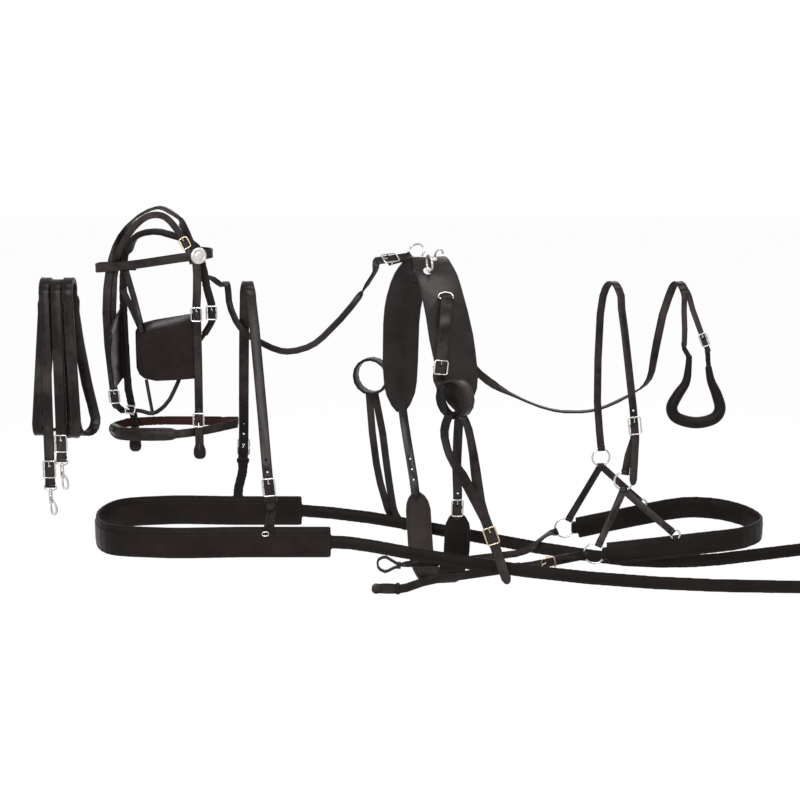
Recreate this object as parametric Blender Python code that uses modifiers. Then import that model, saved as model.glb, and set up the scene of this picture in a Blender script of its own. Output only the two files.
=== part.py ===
"""A pony's driving harness, hung along a round rail the way it is stored.

Lengths are metres. +X runs along the rail to the right, +Z is up, and -Y is the near side.
The origin is on the rail's own axis, under the saddle.
"""

import math

import bmesh
import bpy
from mathutils import Matrix, Vector

# Leather, the rail and the air between pieces
rail_radius = 0.019
rail_clearance = 0.0005
strap_width = 0.020
narrow_width = 0.015
strap_thick = 0.003
chape_thick = 0.0025
lap = 0.0006
fit = 0.0004
flat_error = 0.0006
rein_flat_error = 0.0005
overrun = 0.004

# Buckles: a flat frame in front of the strap, with a dropped bar behind it
wire_radius = 0.0015
tongue_radius = 0.0011
buckle_length = 0.034
buckle_corner = 0.004
small_buckle_length = 0.026
hole_radius = 0.0026
punch_radius = 0.0022
punch_pitch = 0.024
tail_length = 0.012
keeper_width = 0.007
keeper_thick = 0.0016

# Rings, terrets and the hook on the saddle
ring_radius = 0.0205
ring_wire = 0.0019
terret_radius = 0.0165
terret_wire = 0.0022
terret_base_radius = 0.0085
terret_base_height = 0.005
hook_height = 0.024
hook_wire = 0.0018
dee_half_width = 0.0155
dee_drop = 0.012
dee_shift = 0.004

# Reins
reins_at = 0.734
lane_pitch = 0.0225
loop_drop = 0.262
lane_lean = 0.026
back_bulge = 0.036
lane_change = 0.0042
near_rein_end = 0.352
off_rein_end = 0.300
near_rein_lean = 0.0045
off_rein_lean = 0.0025
rein_tail_drop = 0.235
snap_eye_width = 0.0235
snap_eye_height = 0.011
snap_eye_wire = 0.0015
boss_radius = 0.0040
boss_height = 0.005
stem_radius = 0.0016
stem_head_radius = 0.0028
stem_head_height = 0.0014
barrel_radius = 0.0040
barrel_length = 0.0230
bore_radius = 0.0021
bore_roof = 0.003
bolt_radius = 0.0017
bolt_travel = 0.008
bolt_top_drop = 0.0118
knob_radius = 0.0010
knob_reach = 0.0068
hook_wire_radius = 0.0021
hook_depth = 0.0240
hook_width = 0.0105
mouth = 0.0100

# Bridle
off_buckle_x = 0.6225
off_buckle_y = 0.045
off_buckle_drop = 0.200
near_buckle_x = 0.4515
near_buckle_y = 0.086
near_buckle_drop = 0.030
rear_buckle_x = 0.425
rear_buckle_y = 0.062
head_strap_width = 0.016
pad_width = 0.026
pad_thick = 0.010
bit_loop_x = 0.588
bit_loop_y = 0.026
bit_loop_drop = 0.262
bit_loop_depth = 0.050
bit_loop_radius = 0.0052
noseband_left_x = 0.629
noseband_right_x = 0.385
noseband_y = 0.050
noseband_drop = 0.262
noseband_width = 0.018
roll_width = 0.024
roll_thick = 0.012
browband_width = 0.017
browband_off_x = 0.650
browband_off_y = 0.038
browband_near_x = 0.422
browband_near_y = 0.080
browband_low = 0.055
browband_high = 0.086
rosette_radius = 0.0165
rosette_depth = 0.006
blinker_free_x = 0.571
blinker_cheek_x = 0.449
blinker_drop = 0.042
blinker_height = 0.118
blinker_thick = 0.004
blinker_cup = 0.010
blinker_y = 0.0725
off_blinker_x = 0.607
off_blinker_y = 0.0362
off_blinker_reach = 0.096
off_blinker_drop = 0.042
off_blinker_height = 0.125
stay_width = 0.012
cheek_buckle_drop = 0.236
cheek_buckle_y = 0.0945
cheek_loop_drop = 0.306
round_radius = 0.0045
throat_x = 0.612
throat_y = 0.038
throat_drop = 0.232

# Bearing rein
bearing_width = 0.013
bearing_thick = 0.0025
bearing_end_width = 0.018
bearing_start_x = 0.455
bearing_start_y = 0.0611
bearing_start_height = 0.046
bearing_rail_x = 0.401
bearing_buckle_x = 0.080
bearing_buckle_height = 0.066

# Breast collar, neck strap and traces
collar_width = 0.060
collar_thick = 0.006
collar_drop = 0.475
collar_bend_x = 0.671
collar_near_x = 0.196
collar_far_x = 0.266
collar_near_y = 0.120
collar_far_y = 0.104
neck_near_x = 0.352
neck_far_x = 0.368
neck_buckle_x = 0.316
neck_buckle_y = 0.108
neck_buckle_drop = 0.368
neck_far_buckle_x = 0.384
neck_far_buckle_y = 0.090
neck_far_buckle_drop = 0.336
trace_width = 0.026
trace_thick = 0.004
trace_end_x = 0.816
trace_near_drop = 0.566
trace_far_drop = 0.512
trace_slot_length = 0.030
trace_slot_width = 0.006

# Saddle, tugs, girth and bellyband
saddle_width = 0.088
saddle_thick = 0.006
saddle_top = 0.066
saddle_near_y = 0.121
saddle_far_y = 0.100
saddle_near_x = 0.057
saddle_far_x = 0.058
saddle_near_drop = 0.212
saddle_far_drop = 0.262
panel_length = 0.070
panel_thick = 0.036
tug_strap_width = 0.022
tug_near_x = 0.017
tug_near_y = 0.150
tug_loop_radius = 0.036
tug_loop_width = 0.024
tug_loop_thick = 0.005
tug_loop_drop = 0.177
tug_loop_hang = 0.055
tug_buckle_drop = tug_loop_drop - tug_loop_hang
tug_off_x = 0.118
tug_off_y = 0.1124
tug_off_drop = 0.190
off_strap_end_x = 0.045
off_strap_end_y = 0.090
off_strap_end_drop = 0.512
billet_width = 0.018
girth_width = 0.050
girth_thick = 0.010
girth_near_x = 0.053
girth_near_y = 0.090
girth_near_top = 0.428
girth_far_x = 0.027
girth_far_y = 0.052
girth_far_top = 0.405
belly_end_x = 0.150
belly_end_drop = 0.548
belly_y = 0.162
belly_buckle_x = 0.116
belly_buckle_drop = 0.450

# Backstrap and crupper
back_width = 0.016
back_thick = 0.003
back_start_x = 0.050
back_start_y = 0.0921
back_start_drop = 0.090
back_rail_x = 0.478
crupper_rail_x = 0.499
crupper_x = 0.527
crupper_y = 0.028
crupper_width = 0.096
crupper_drop = 0.257
dock_radius = 0.0112
fork_width = 0.011
fork_end_drop = 0.106
crupper_buckle_x = 0.537
crupper_buckle_drop = 0.089

# Breeching
hip_near_x = 0.372
hip_far_x = 0.346
hip_buckle_x = 0.401
hip_buckle_y = 0.066
hip_buckle_drop = 0.254
hip_tail_drop = 0.372
hip_ring_radius = 0.0180
hip_ring_near_x = 0.383
hip_ring_near_y = 0.062
hip_ring_near_drop = 0.368
hip_ring_far_x = 0.354
hip_ring_far_y = 0.070
hip_ring_far_drop = 0.352
seat_ring_near_x = 0.325
seat_ring_near_y = 0.092
seat_ring_far_x = 0.284
seat_ring_far_y = 0.086
seat_ring_drop = 0.508
seat_width = 0.044
seat_thick = 0.006
seat_gap = 0.026
seat_bend_drop = 0.477
seat_bend_x = 0.672
hanger_width = 0.014
seat_dee_near_x = 0.484
seat_dee_far_x = 0.443
seat_dee_near_drop = 0.462
seat_dee_far_drop = 0.466
dee_radius = 0.009
holdback_width = 0.018
holdback_buckle_x = 0.234
holdback_buckle_y = 0.095
holdback_buckle_drop = 0.526
holdback_near_end_x = 0.106
holdback_near_end_y = 0.150
holdback_near_drop = 0.562
holdback_far_end_x = 0.106
holdback_far_end_y = 0.045
holdback_far_drop = 0.546
holdback_loop_length = 0.044

hang_share = 0.45
tip_shares = ((0.0, 0.30), (0.18, 0.66), (0.45, 0.92), (0.75, 1.0))
corner_turns = 2
ring_steps = 16
ring_sides = 6


# Collections and materials
part_collection = bpy.data.collections.new("driving_harness")
helper_collection = bpy.data.collections.new("cutters")
for made in list(bpy.data.objects):
    bpy.data.objects.remove(made)
bpy.context.scene.collection.children.link(part_collection)
bpy.context.scene.collection.children.link(helper_collection)


def finish(name, colour, roughness, metallic):
    """A plain Principled material."""
    material = bpy.data.materials.new(name)
    material.use_nodes = True
    shader = material.node_tree.nodes["Principled BSDF"]
    shader.inputs["Base Color"].default_value = (*colour, 1)
    shader.inputs["Roughness"].default_value = roughness
    shader.inputs["Metallic"].default_value = metallic
    return material


black_leather = finish("black_leather", (0.022, 0.020, 0.020), 0.42, 0)
patent_leather = finish("patent_leather", (0.012, 0.010, 0.011), 0.14, 0)
padded_leather = finish("padded_leather", (0.030, 0.027, 0.026), 0.5, 0)
bright_steel = finish("bright_steel", (0.78, 0.77, 0.75), 0.16, 1)
silver_plate = finish("silver_plate", (0.86, 0.85, 0.83), 0.24, 1)


def keep(obj, material):
    """Puts a finished piece among the parts, with its own copy of the material."""
    for owner in list(obj.users_collection):
        owner.objects.unlink(obj)
    part_collection.objects.link(obj)
    obj.data.materials.clear()
    own = material.copy()
    own.name = obj.name + "_" + material.name
    obj.data.materials.append(own)
    obj.data.shade_smooth()
    obj.data.set_sharp_from_angle(angle=math.radians(40))
    return obj


def helper(obj):
    """Marks an object as a cutter or a shape to be joined, which isn't a piece by itself."""
    for owner in list(obj.users_collection):
        owner.objects.unlink(obj)
    helper_collection.objects.link(obj)
    obj.hide_render = True
    obj.display_type = "WIRE"
    return obj


def boolean(obj, other, operation):
    change = obj.modifiers.new(operation.lower() + "_" + other.name, "BOOLEAN")
    change.operation = operation
    change.object = helper(other)
    return obj


def join(obj, *others):
    for other in others:
        boolean(obj, other, "UNION")
    return obj


def cut(obj, *others):
    for other in others:
        boolean(obj, other, "DIFFERENCE")
    return obj


# Places and curves
def place(first, last, shares):
    """Points in the box from one corner to the other, each given as its shares of the way."""
    span = last - first
    return [first + Vector((span.x * x, span.y * y, span.z * z)) for x, y, z in shares]


def flow(rows, per_span=14):
    """A smooth curve through rows of vectors, spaced by the distances between the first of each."""
    count = len(rows)
    knots = [0.0]
    for before, after in zip(rows, rows[1:]):
        knots.append(knots[-1] + (after[0] - before[0]).length)
    slopes = []
    for i in range(count):
        left, right = max(i - 1, 0), min(i + 1, count - 1)
        row = []
        for k in range(len(rows[0])):
            if 0 < i < count - 1:
                back, ahead = knots[i] - knots[left], knots[right] - knots[i]
                behind = (rows[i][k] - rows[left][k]) / back
                beyond = (rows[right][k] - rows[i][k]) / ahead
                row.append((behind * ahead + beyond * back) / (back + ahead))
            else:
                row.append((rows[right][k] - rows[left][k]) / (knots[right] - knots[left]))
        slopes.append(row)
    made = []
    for i in range(count - 1):
        reach = knots[i + 1] - knots[i]
        for step in range(per_span + (i == count - 2)):
            t = step / per_span
            a, b = 2 * t**3 - 3 * t**2 + 1, t**3 - 2 * t**2 + t
            c, d = 3 * t**2 - 2 * t**3, t**3 - t**2
            made.append([
                rows[i][k] * a + slopes[i][k] * (b * reach) + rows[i + 1][k] * c + slopes[i + 1][k] * (d * reach)
                for k in range(len(rows[0]))
            ])
    return made


def share_at(table, where):
    """The value that a table of shares has at a place, straight between its entries."""
    if where <= table[0][0]:
        return table[0][1]
    for (near, low), (far, high) in zip(table, table[1:]):
        if where <= far:
            return low + (high - low) * (where - near) / (far - near)
    return table[-1][1]


def edges_of(points, across, width, tips=(False, False), width_shares=None):
    """The two edge lines of a strap, with pointed ends where tips asks for them."""
    if isinstance(across, Vector):
        across = [across] * len(points)
    rows = flow(list(zip(points, across)))
    along = [0.0]
    for before, after in zip(rows, rows[1:]):
        along.append(along[-1] + (after[0] - before[0]).length)
    total = along[-1]
    if any(tips):
        rows, along = refined_ends(rows, along, width, tips)
    lines = []
    for i, (point, side) in enumerate(rows):
        ahead = rows[min(i + 1, len(rows) - 1)][0] - rows[max(i - 1, 0)][0]
        direction = ahead.normalized()
        side = (side - direction * side.dot(direction)).normalized()
        share = share_at(width_shares, along[i] / total) if width_shares else 1
        if tips[0]:
            share *= share_at(tip_shares, along[i] / width)
        if tips[1]:
            share *= share_at(tip_shares, (total - along[i]) / width)
        lines.append((point - side * (width * share / 2), point + side * (width * share / 2)))
    return lines


def refined_ends(rows, along, width, tips):
    """Adds rows at the distances from a pointed end where its outline changes."""
    total = along[-1]
    wanted = []
    if tips[0]:
        wanted += [share * width for share, _ in tip_shares]
    if tips[1]:
        wanted += [total - share * width for share, _ in tip_shares]
    for place_along in wanted:
        if place_along <= 0 or place_along >= total:
            continue
        i = next(k for k, value in enumerate(along) if value >= place_along)
        share = (place_along - along[i - 1]) / (along[i] - along[i - 1])
        if min(share, 1 - share) < 0.02:
            continue
        rows.insert(i, [a.lerp(b, share) for a, b in zip(rows[i - 1], rows[i])])
        along.insert(i, place_along)
    return rows, along


def thinned(lines, error):
    """Leaves out the rows that straight runs between their neighbours already follow."""
    kept = [0]
    at = 0
    while at < len(lines) - 1:
        reach = at + 1
        while reach + 1 < len(lines) and follows(lines, at, reach + 1, error):
            reach += 1
        kept.append(reach)
        at = reach
    return [lines[i] for i in kept]


def follows(lines, first, last, error):
    for side in (0, 1):
        start, end = lines[first][side], lines[last][side]
        run = end - start
        for i in range(first + 1, last):
            off = lines[i][side] - start
            share = off.dot(run) / run.length_squared
            if (off - run * share).length > error:
                return False
    return True


def ribbon(
    name, points, across, width=strap_width, thick=strap_thick, tips=(False, False), width_shares=None, error=flat_error
):
    """A strap: an edge extruded row by row along a smooth route, then given its thickness."""
    lines = thinned(edges_of(points, across, width, tips, width_shares), error)
    sheet = bmesh.new()
    left = sheet.verts.new(lines[0][0])
    right = sheet.verts.new(lines[0][1])
    edge = sheet.edges.new((left, right))
    for next_left, next_right in lines[1:]:
        grown = bmesh.ops.extrude_edge_only(sheet, edges=[edge])["geom"]
        edge = next(part for part in grown if isinstance(part, bmesh.types.BMEdge))
        ends = sorted(edge.verts, key=lambda vert: (vert.co - left.co).length)
        left, right = ends[0], ends[1]
        left.co, right.co = next_left, next_right
    mesh = bpy.data.meshes.new(name)
    sheet.to_mesh(mesh)
    sheet.free()
    obj = bpy.data.objects.new(name, mesh)
    bpy.context.scene.collection.objects.link(obj)
    wall = obj.modifiers.new("thickness", "SOLIDIFY")
    wall.thickness = thick
    wall.offset = 0
    wall.use_even_offset = True
    return obj


def tube(name, points, radius, resolution=1, cyclic=False, radii=None, smooth=True, steps=2):
    """A round wire or a rounded strap as a welded mesh."""
    if smooth and not cyclic:
        points = [row[0] for row in flow([(point,) for point in points], steps)]
    curve = bpy.data.curves.new(name, "CURVE")
    curve.dimensions = "3D"
    spline = curve.splines.new("POLY")
    spline.points.add(len(points) - 1)
    for i, point in enumerate(points):
        spline.points[i].co = (*point, 1)
        if radii:
            spline.points[i].radius = share_at(radii, i / (len(points) - 1))
    spline.use_cyclic_u = cyclic
    curve.bevel_depth = radius
    curve.bevel_resolution = resolution
    curve.use_fill_caps = True
    guide = bpy.data.objects.new(name + "_guide", curve)
    bpy.context.scene.collection.objects.link(guide)
    bpy.context.view_layer.update()
    mesh = bpy.data.meshes.new_from_object(guide.evaluated_get(bpy.context.evaluated_depsgraph_get()))
    bpy.data.objects.remove(guide)
    welded = bmesh.new()
    welded.from_mesh(mesh)
    bmesh.ops.remove_doubles(welded, verts=welded.verts, dist=fit / 100)
    bmesh.ops.recalc_face_normals(welded, faces=welded.faces)
    welded.to_mesh(mesh)
    welded.free()
    mesh.name = name
    obj = bpy.data.objects.new(name, mesh)
    bpy.context.scene.collection.objects.link(obj)
    return obj


def standing(direction):
    """The turn that takes +Z to a direction."""
    return direction.to_track_quat("Z", "Y").to_matrix().to_4x4()


def peg(name, start, end, radius, sides=12, end_radius=None):
    """A round bar, or a taper, from one point to another."""
    run = end - start
    body = bmesh.new()
    bmesh.ops.create_cone(
        body,
        cap_ends=True,
        segments=sides,
        radius1=radius,
        radius2=radius if end_radius is None else end_radius,
        depth=run.length,
        matrix=Matrix.Translation((start + end) / 2) @ standing(run),
    )
    return of_bmesh(name, body)


def block(name, frame, low, high):
    """A box given by two corners in a local frame."""
    size, middle = high - low, (high + low) / 2
    body = bmesh.new()
    bmesh.ops.create_cube(body, size=1, matrix=frame @ Matrix.Translation(middle) @ Matrix.Diagonal((*size, 1)))
    return of_bmesh(name, body)


def of_bmesh(name, body):
    bmesh.ops.recalc_face_normals(body, faces=body.faces)
    mesh = bpy.data.meshes.new(name)
    body.to_mesh(mesh)
    body.free()
    obj = bpy.data.objects.new(name, mesh)
    bpy.context.scene.collection.objects.link(obj)
    return obj


def pivot(obj, at):
    """Puts a moving piece's origin on its joint's axis, and leaves its shape where it is."""
    obj.data.transform(Matrix.Translation(-at))
    obj.matrix_world = Matrix.Translation(at)
    return obj


def torus(name, centre, axis, radius, wire, around=20, sides=8):
    bpy.ops.mesh.primitive_torus_add(
        location=centre,
        rotation=axis.to_track_quat("Z", "Y").to_euler(),
        major_segments=around,
        minor_segments=sides,
        major_radius=radius,
        minor_radius=wire,
    )
    obj = bpy.context.object
    obj.name = name
    obj.data.name = name
    return obj


def turned(name, profile, centre, axis, steps=20):
    """A turned shape: a profile of radius and height pairs, from the top down, about an axis."""
    mesh = bpy.data.meshes.new(name)
    mesh.from_pydata([(r, 0, z) for r, z in profile], [(i, i + 1) for i in range(len(profile) - 1)], [])
    obj = bpy.data.objects.new(name, mesh)
    bpy.context.scene.collection.objects.link(obj)
    obj.matrix_world = Matrix.Translation(centre) @ standing(axis)
    lathe = obj.modifiers.new("lathe", "SCREW")
    lathe.steps = steps
    lathe.render_steps = steps
    lathe.use_merge_vertices = True
    lathe.merge_threshold = fit / 10
    return obj


def local_frame(at, down, out):
    """Across, down and out of a strap at a buckle, as the columns of a matrix placed there."""
    down = down.normalized()
    out = (out - down * out.dot(down)).normalized()
    across = down.cross(out)
    turn = Matrix((across, down, out)).transposed().to_4x4()
    return Matrix.Translation(at) @ turn


def through(at, down, reach):
    """Four points in one line, so that a strap runs straight where its buckle is."""
    run = down.normalized() * reach
    return [at - run, at - run / 2, at + run / 2, at + run]


def buckle(name, at, down, out, width=strap_width, thick=strap_thick, length=buckle_length, chape=chape_thick):
    """A buckle on a straight stretch of strap.

    The frame lies in front of the strap, the bar is dropped behind it, and the tongue comes through the
    strap's hole and over the far end of the frame. It gives back the piece, its local frame, the bar's
    depth and the cutter of the hole.
    """
    frame = local_frame(at, down, out)
    front = thick / 2 + wire_radius + fit
    eye = wire_radius + fit + chape
    back = thick / 2 + fit + (eye if chape else wire_radius)
    half_width = width / 2 + fit + wire_radius
    half_length = length / 2
    corners = []
    for side, end, turn in ((1, -1, 0), (1, 1, 1), (-1, 1, 2), (-1, -1, 3)):
        for step in range(corner_turns):
            angle = math.radians(90 * (turn - 1) + 90 * step / (corner_turns - 1))
            corners.append(
                frame
                @ Vector((
                    side * (half_width - buckle_corner) + buckle_corner * math.cos(angle),
                    end * (half_length - buckle_corner) + buckle_corner * math.sin(angle),
                    front,
                ))
            )
    obj = tube(name, corners, wire_radius, cyclic=True)
    bar_points = [(-half_width, 0, front), (-half_width, 0, -back), (half_width, 0, -back), (half_width, 0, front)]
    bar = tube(name + "_bar", [frame @ Vector(p) for p in bar_points], wire_radius, 0, smooth=False)
    lean = thick / 3
    hole = tongue_hole_down(length)
    tongue_points = [
        (0, 0, -back),
        (0, hole + 2 * lean, -back + tongue_radius),
        (0, hole + lean, -thick / 2 - tongue_radius),
        (0, hole - lean, thick / 2 + tongue_radius),
        (0, -half_length - wire_radius, front + wire_radius + tongue_radius / 2),
    ]
    tongue = tube(name + "_tongue", [frame @ Vector(p) for p in tongue_points], tongue_radius, 0, smooth=False)
    join(obj, bar, tongue)
    middle = frame @ Vector((0, hole, 0))
    reach = frame.to_3x3() @ Vector((0, 0, thick))
    punch = peg(name + "_hole", middle - reach, middle + reach, hole_radius, 8)
    return obj, frame, back, punch


def tongue_hole_down(length):
    """How far from the bar, towards the frame's top, the tongue comes through the strap."""
    return -length * 0.17


def with_bar_eye(strap, frame, back, thick=chape_thick, width=strap_width):
    """Rolls the start of a chape round a buckle's bar, slotted for the tongue."""
    side = frame.to_3x3() @ Vector((width / 2 - fit, 0, 0))
    bar = frame @ Vector((0, 0, -back))
    outer = wire_radius + fit + thick
    roll = peg(strap.name + "_roll", bar - side, bar + side, outer)
    bore = peg(strap.name + "_bore", bar - side * 2, bar + side * 2, wire_radius + fit)
    half = tongue_radius + fit
    slot = block(
        strap.name + "_slot",
        frame,
        Vector((-half, -outer - overrun, -back - outer - fit)),
        Vector((half, 0, -back + outer + fit)),
    )
    return cut(join(strap, roll), bore, slot)


def with_ring_eye(strap, ring, toward, width=strap_width, thick=strap_thick, wire=ring_wire):
    """Rolls a strap's end round a ring, with a bore that follows the ring's curve."""
    ring_centre, ring_axis, radius = ring
    centre, axis = rim(ring_centre, ring_axis, radius, toward)
    side = axis * (width / 2 - fit)
    roll = peg(strap.name + "_ring_roll", centre - side, centre + side, wire + fit + thick)
    bore = torus(strap.name + "_ring_bore", ring_centre, ring_axis, radius, wire + fit, ring_steps, ring_sides)
    return cut(join(strap, roll), bore)


def with_keeper(strap, frame, back, down, width=strap_width, thick=strap_thick):
    """Sews a keeper to a chape, with a slot that the strap's tail passes through."""
    half = width / 2 + fit
    outer = half + keeper_thick
    body = block(
        strap.name + "_keeper",
        frame,
        Vector((-outer, down, -back - chape_thick / 2 - keeper_thick)),
        Vector((outer, down + keeper_width, thick / 2 + fit + keeper_thick)),
    )
    slot = block(
        strap.name + "_keeper_slot",
        frame,
        Vector((-half, down - overrun, -thick / 2 - fit)),
        Vector((half, down + keeper_width + overrun, thick / 2 + fit)),
    )
    return cut(join(strap, body), slot)


def spare_holes(strap, frame, length, count=2):
    """Spare holes along a strap, on the far side of its buckle from the tail."""
    reach = frame.to_3x3() @ Vector((0, 0, strap_thick * 2))
    for i in range(count):
        middle = frame @ Vector((0, tongue_hole_down(length) - punch_pitch * (i + 1), 0))
        cut(strap, peg(f"{strap.name}_punch_{len(strap.modifiers)}", middle - reach, middle + reach, punch_radius, 6))
    return strap


def drape(start, end, shares):
    """A route between two places: how far along each point is, then its offsets as shares of the straight run."""
    reach = (end - start).length
    return [start.lerp(end, along) + Vector((x, y, z)) * reach for along, x, y, z in shares]


def rim(centre, axis, radius, toward):
    """The point of a ring on the side towards a place, and the way that the ring runs there."""
    out = toward - centre
    out = (out - axis * out.dot(axis)).normalized()
    return centre + out * radius, axis.cross(out)


def over_rail(near_x, far_x, layer=0, steps=6, thick=strap_thick):
    """Points over the rail from its near side to its far side, some layers up."""
    radius = rail_radius + rail_clearance + thick / 2 + layer * (strap_thick + lap)
    points = []
    for i in range(steps + 1):
        angle = math.pi * i / steps
        x = near_x + (far_x - near_x) * i / steps
        points.append(Vector((x, -radius * math.cos(angle), radius * math.sin(angle))))
    hang = down * radius * hang_share
    return [points[0] + hang, *points, points[-1] + hang]


def least_gap(points, thick, apart=0.06):
    """The least air between parts of one strap that are further apart along it than a given length."""
    rows = [row[0] for row in flow([(point,) for point in points], 6)]
    along = [0.0]
    for before, after in zip(rows, rows[1:]):
        along.append(along[-1] + (after - before).length)
    found = min(
        (rows[i] - rows[j]).length
        for i in range(len(rows))
        for j in range(i + 1, len(rows))
        if along[j] - along[i] > apart
    )
    return found - thick


left = Vector((-1, 0, 0))
right = Vector((1, 0, 0))
near_side = Vector((0, -1, 0))
far_side = Vector((0, 1, 0))
up = Vector((0, 0, 1))
down = Vector((0, 0, -1))


# Reins: each is one strap hung over the rail in four turns, with a snap at its front end
front_shares = (0.93, 0.8, 0.5, 0.16, 0.05)
bend_steps = 4
bend_shift_shares = (0.0, 0.12, 0.5, 0.88, 1.0)


def lane_x(lane):
    return -reins_at + (lane - 1) * lane_pitch


def layer_radius(layer):
    return rail_radius + rail_clearance + strap_thick / 2 + layer * (strap_thick + lap)


def front_x(lane, share):
    return lane_x(lane) + (lane - 1) * lane_lean * (1 if lane == 0 else 0.25) * share


def back_x(lane, share):
    bulge = back_bulge if lane == 2 else -lane_lean if lane == 0 else 0
    return lane_x(lane) + bulge * share**1.5


def rein_route(turns, end_x, end_drop, changes):
    """The route of one rein: up the near side, over, down the far side and round to the next turn."""
    lane, layer = turns[0]
    radius = layer_radius(layer)
    points = through(Vector((end_x, -radius, -end_drop)), up, buckle_length)
    points += [Vector((lane_x(lane), -radius, -loop_drop * share)) for share in front_shares[2:]]
    for i, (lane, layer) in enumerate(turns):
        points += over_rail(lane_x(lane), lane_x(lane), layer)
        radius = layer_radius(layer)
        points += [Vector((back_x(lane, s), radius, -loop_drop * s)) for s in reversed(front_shares)]
        if i + 1 == len(turns):
            points[-1] = Vector((points[-1].x, radius, -rein_tail_drop))
            break
        next_lane, next_layer = turns[i + 1]
        next_radius = layer_radius(next_layer)
        reach = (radius + next_radius) / 2
        middle = (radius - next_radius) / 2
        start_x, stop_x = back_x(lane, 1), front_x(next_lane, 1)
        for k, shift in enumerate(bend_shift_shares):
            angle = math.pi * k / bend_steps
            points.append(
                Vector((
                    start_x + (stop_x - start_x) * shift,
                    middle + reach * math.cos(angle),
                    -loop_drop + changes[i] * math.sin(angle) - reach * math.sin(angle),
                ))
            )
        points += [Vector((front_x(next_lane, s), -next_radius, -loop_drop * s)) for s in front_shares]
    return points


def snap(side, top):
    """A swivel snap under a rein's end: its eye, its hook and the spring bolt that closes it."""
    frame = Matrix.Translation(top)
    half = snap_eye_width / 2
    low = -snap_eye_height
    slope_share = 0.35
    eye_points = [
        (-half, 0, 0),
        (-half, 0, low * (1 - slope_share)),
        (-half * slope_share, 0, low),
        (half * slope_share, 0, low),
        (half, 0, low * (1 - slope_share)),
        (half, 0, 0),
    ]
    eye = tube("snap_eye_" + side, [frame @ Vector(p) for p in eye_points], snap_eye_wire, cyclic=True)
    boss_top = low + boss_height / 2
    boss_low = low - boss_height / 2
    boss = peg("boss_" + side, frame @ Vector((0, 0, boss_low)), frame @ Vector((0, 0, boss_top)), boss_radius)
    stem_hole = peg(
        "stem_hole_" + side,
        frame @ Vector((0, 0, boss_low - overrun)),
        frame @ Vector((0, 0, boss_top + overrun)),
        stem_radius + fit,
    )
    keep(cut(join(eye, boss), stem_hole), bright_steel)

    barrel_top = boss_low - fit
    barrel_low = barrel_top - barrel_length
    head_low = boss_top + fit
    profile = [
        (0, head_low + stem_head_height),
        (stem_head_radius, head_low + stem_head_height),
        (stem_head_radius, head_low),
        (stem_radius, head_low),
        (stem_radius, barrel_top),
        (barrel_radius * 0.8, barrel_top),
        (barrel_radius, barrel_top - barrel_radius / 3),
        (barrel_radius, barrel_low),
        (0, barrel_low),
    ]
    hook = turned("snap_hook_" + side, profile, top, up, 12)
    tip_z = barrel_low - mouth
    hook_shares = (
        (0.30, 0.0, 0.30), (0.72, 0.0, 0.0), (1.0, 0.0, -0.35), (1.0, 0.0, -0.72),
        (0.80, 0.0, -0.94), (0.5, 0.0, -1.0), (0.2, 0.0, -0.92), (0.0, 0.0, -0.7),
    )
    corner = Vector((hook_width, 0, hook_depth))
    arm = [Vector((0, 0, barrel_low)) + Vector((corner.x * x, 0, corner.z * z)) for x, _, z in hook_shares]
    arm.append(Vector((0, 0, tip_z)))
    hook_arm = tube("hook_arm_" + side, [frame @ p for p in arm], hook_wire_radius)
    bore = peg(
        "bolt_bore_" + side,
        frame @ Vector((0, 0, barrel_low - fit)),
        frame @ Vector((0, 0, barrel_top - bore_roof)),
        bore_radius,
    )
    knob_z = boss_low - bolt_top_drop - bolt_travel
    knob_slot = block(
        "knob_slot_" + side,
        frame,
        Vector((-knob_radius - fit, -barrel_radius - overrun, knob_z - knob_radius - fit)),
        Vector((knob_radius + fit, 0, knob_z + bolt_travel + knob_radius + fit)),
    )
    keep(cut(join(hook, hook_arm), bore, knob_slot), bright_steel)

    bolt_low = tip_z + fit
    bolt_high = boss_low - bolt_top_drop
    bolt = peg("snap_bolt_" + side, frame @ Vector((0, 0, bolt_low)), frame @ Vector((0, 0, bolt_high)), bolt_radius, 8)
    knob = peg(
        "knob_" + side,
        frame @ Vector((0, -bolt_radius / 2, knob_z)),
        frame @ Vector((0, -knob_reach, knob_z)),
        knob_radius,
        8,
    )
    thumb = peg(
        "thumb_" + side,
        frame @ Vector((0, -knob_reach + knob_radius, knob_z)),
        frame @ Vector((0, -knob_reach - knob_radius, knob_z)),
        knob_radius * 1.8,
        8,
    )
    keep(pivot(join(bolt, knob, thumb), frame @ Vector((0, 0, bolt_low))), bright_steel)
    print("snap", side, "eye", tuple(round(v, 4) for v in top))


def rein(side, turns, end_x, end_drop, changes):
    points = rein_route(turns, end_x, end_drop, changes)
    print("rein", side, "least gap to itself, mm", round(1000 * least_gap(points, strap_thick), 2))
    radius = layer_radius(turns[0][1])
    at = Vector((end_x, -radius, -end_drop))
    piece, frame, back, hole = buckle("rein_buckle_" + side, at, down, near_side, chape=0)
    keep(piece, bright_steel)
    strap = ribbon("rein_" + side, points, right, tips=(False, True), error=rein_flat_error)
    eye_centre = points[0]
    grip = right * (strap_width / 2 - fit)
    roll = peg("rein_roll_" + side, eye_centre - grip, eye_centre + grip, snap_eye_wire + fit + strap_thick)
    bore = peg("rein_bore_" + side, eye_centre - grip * 2, eye_centre + grip * 2, snap_eye_wire + fit)
    cut(join(strap, roll), bore, hole)
    keep(strap, black_leather)
    snap(side, eye_centre)


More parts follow.
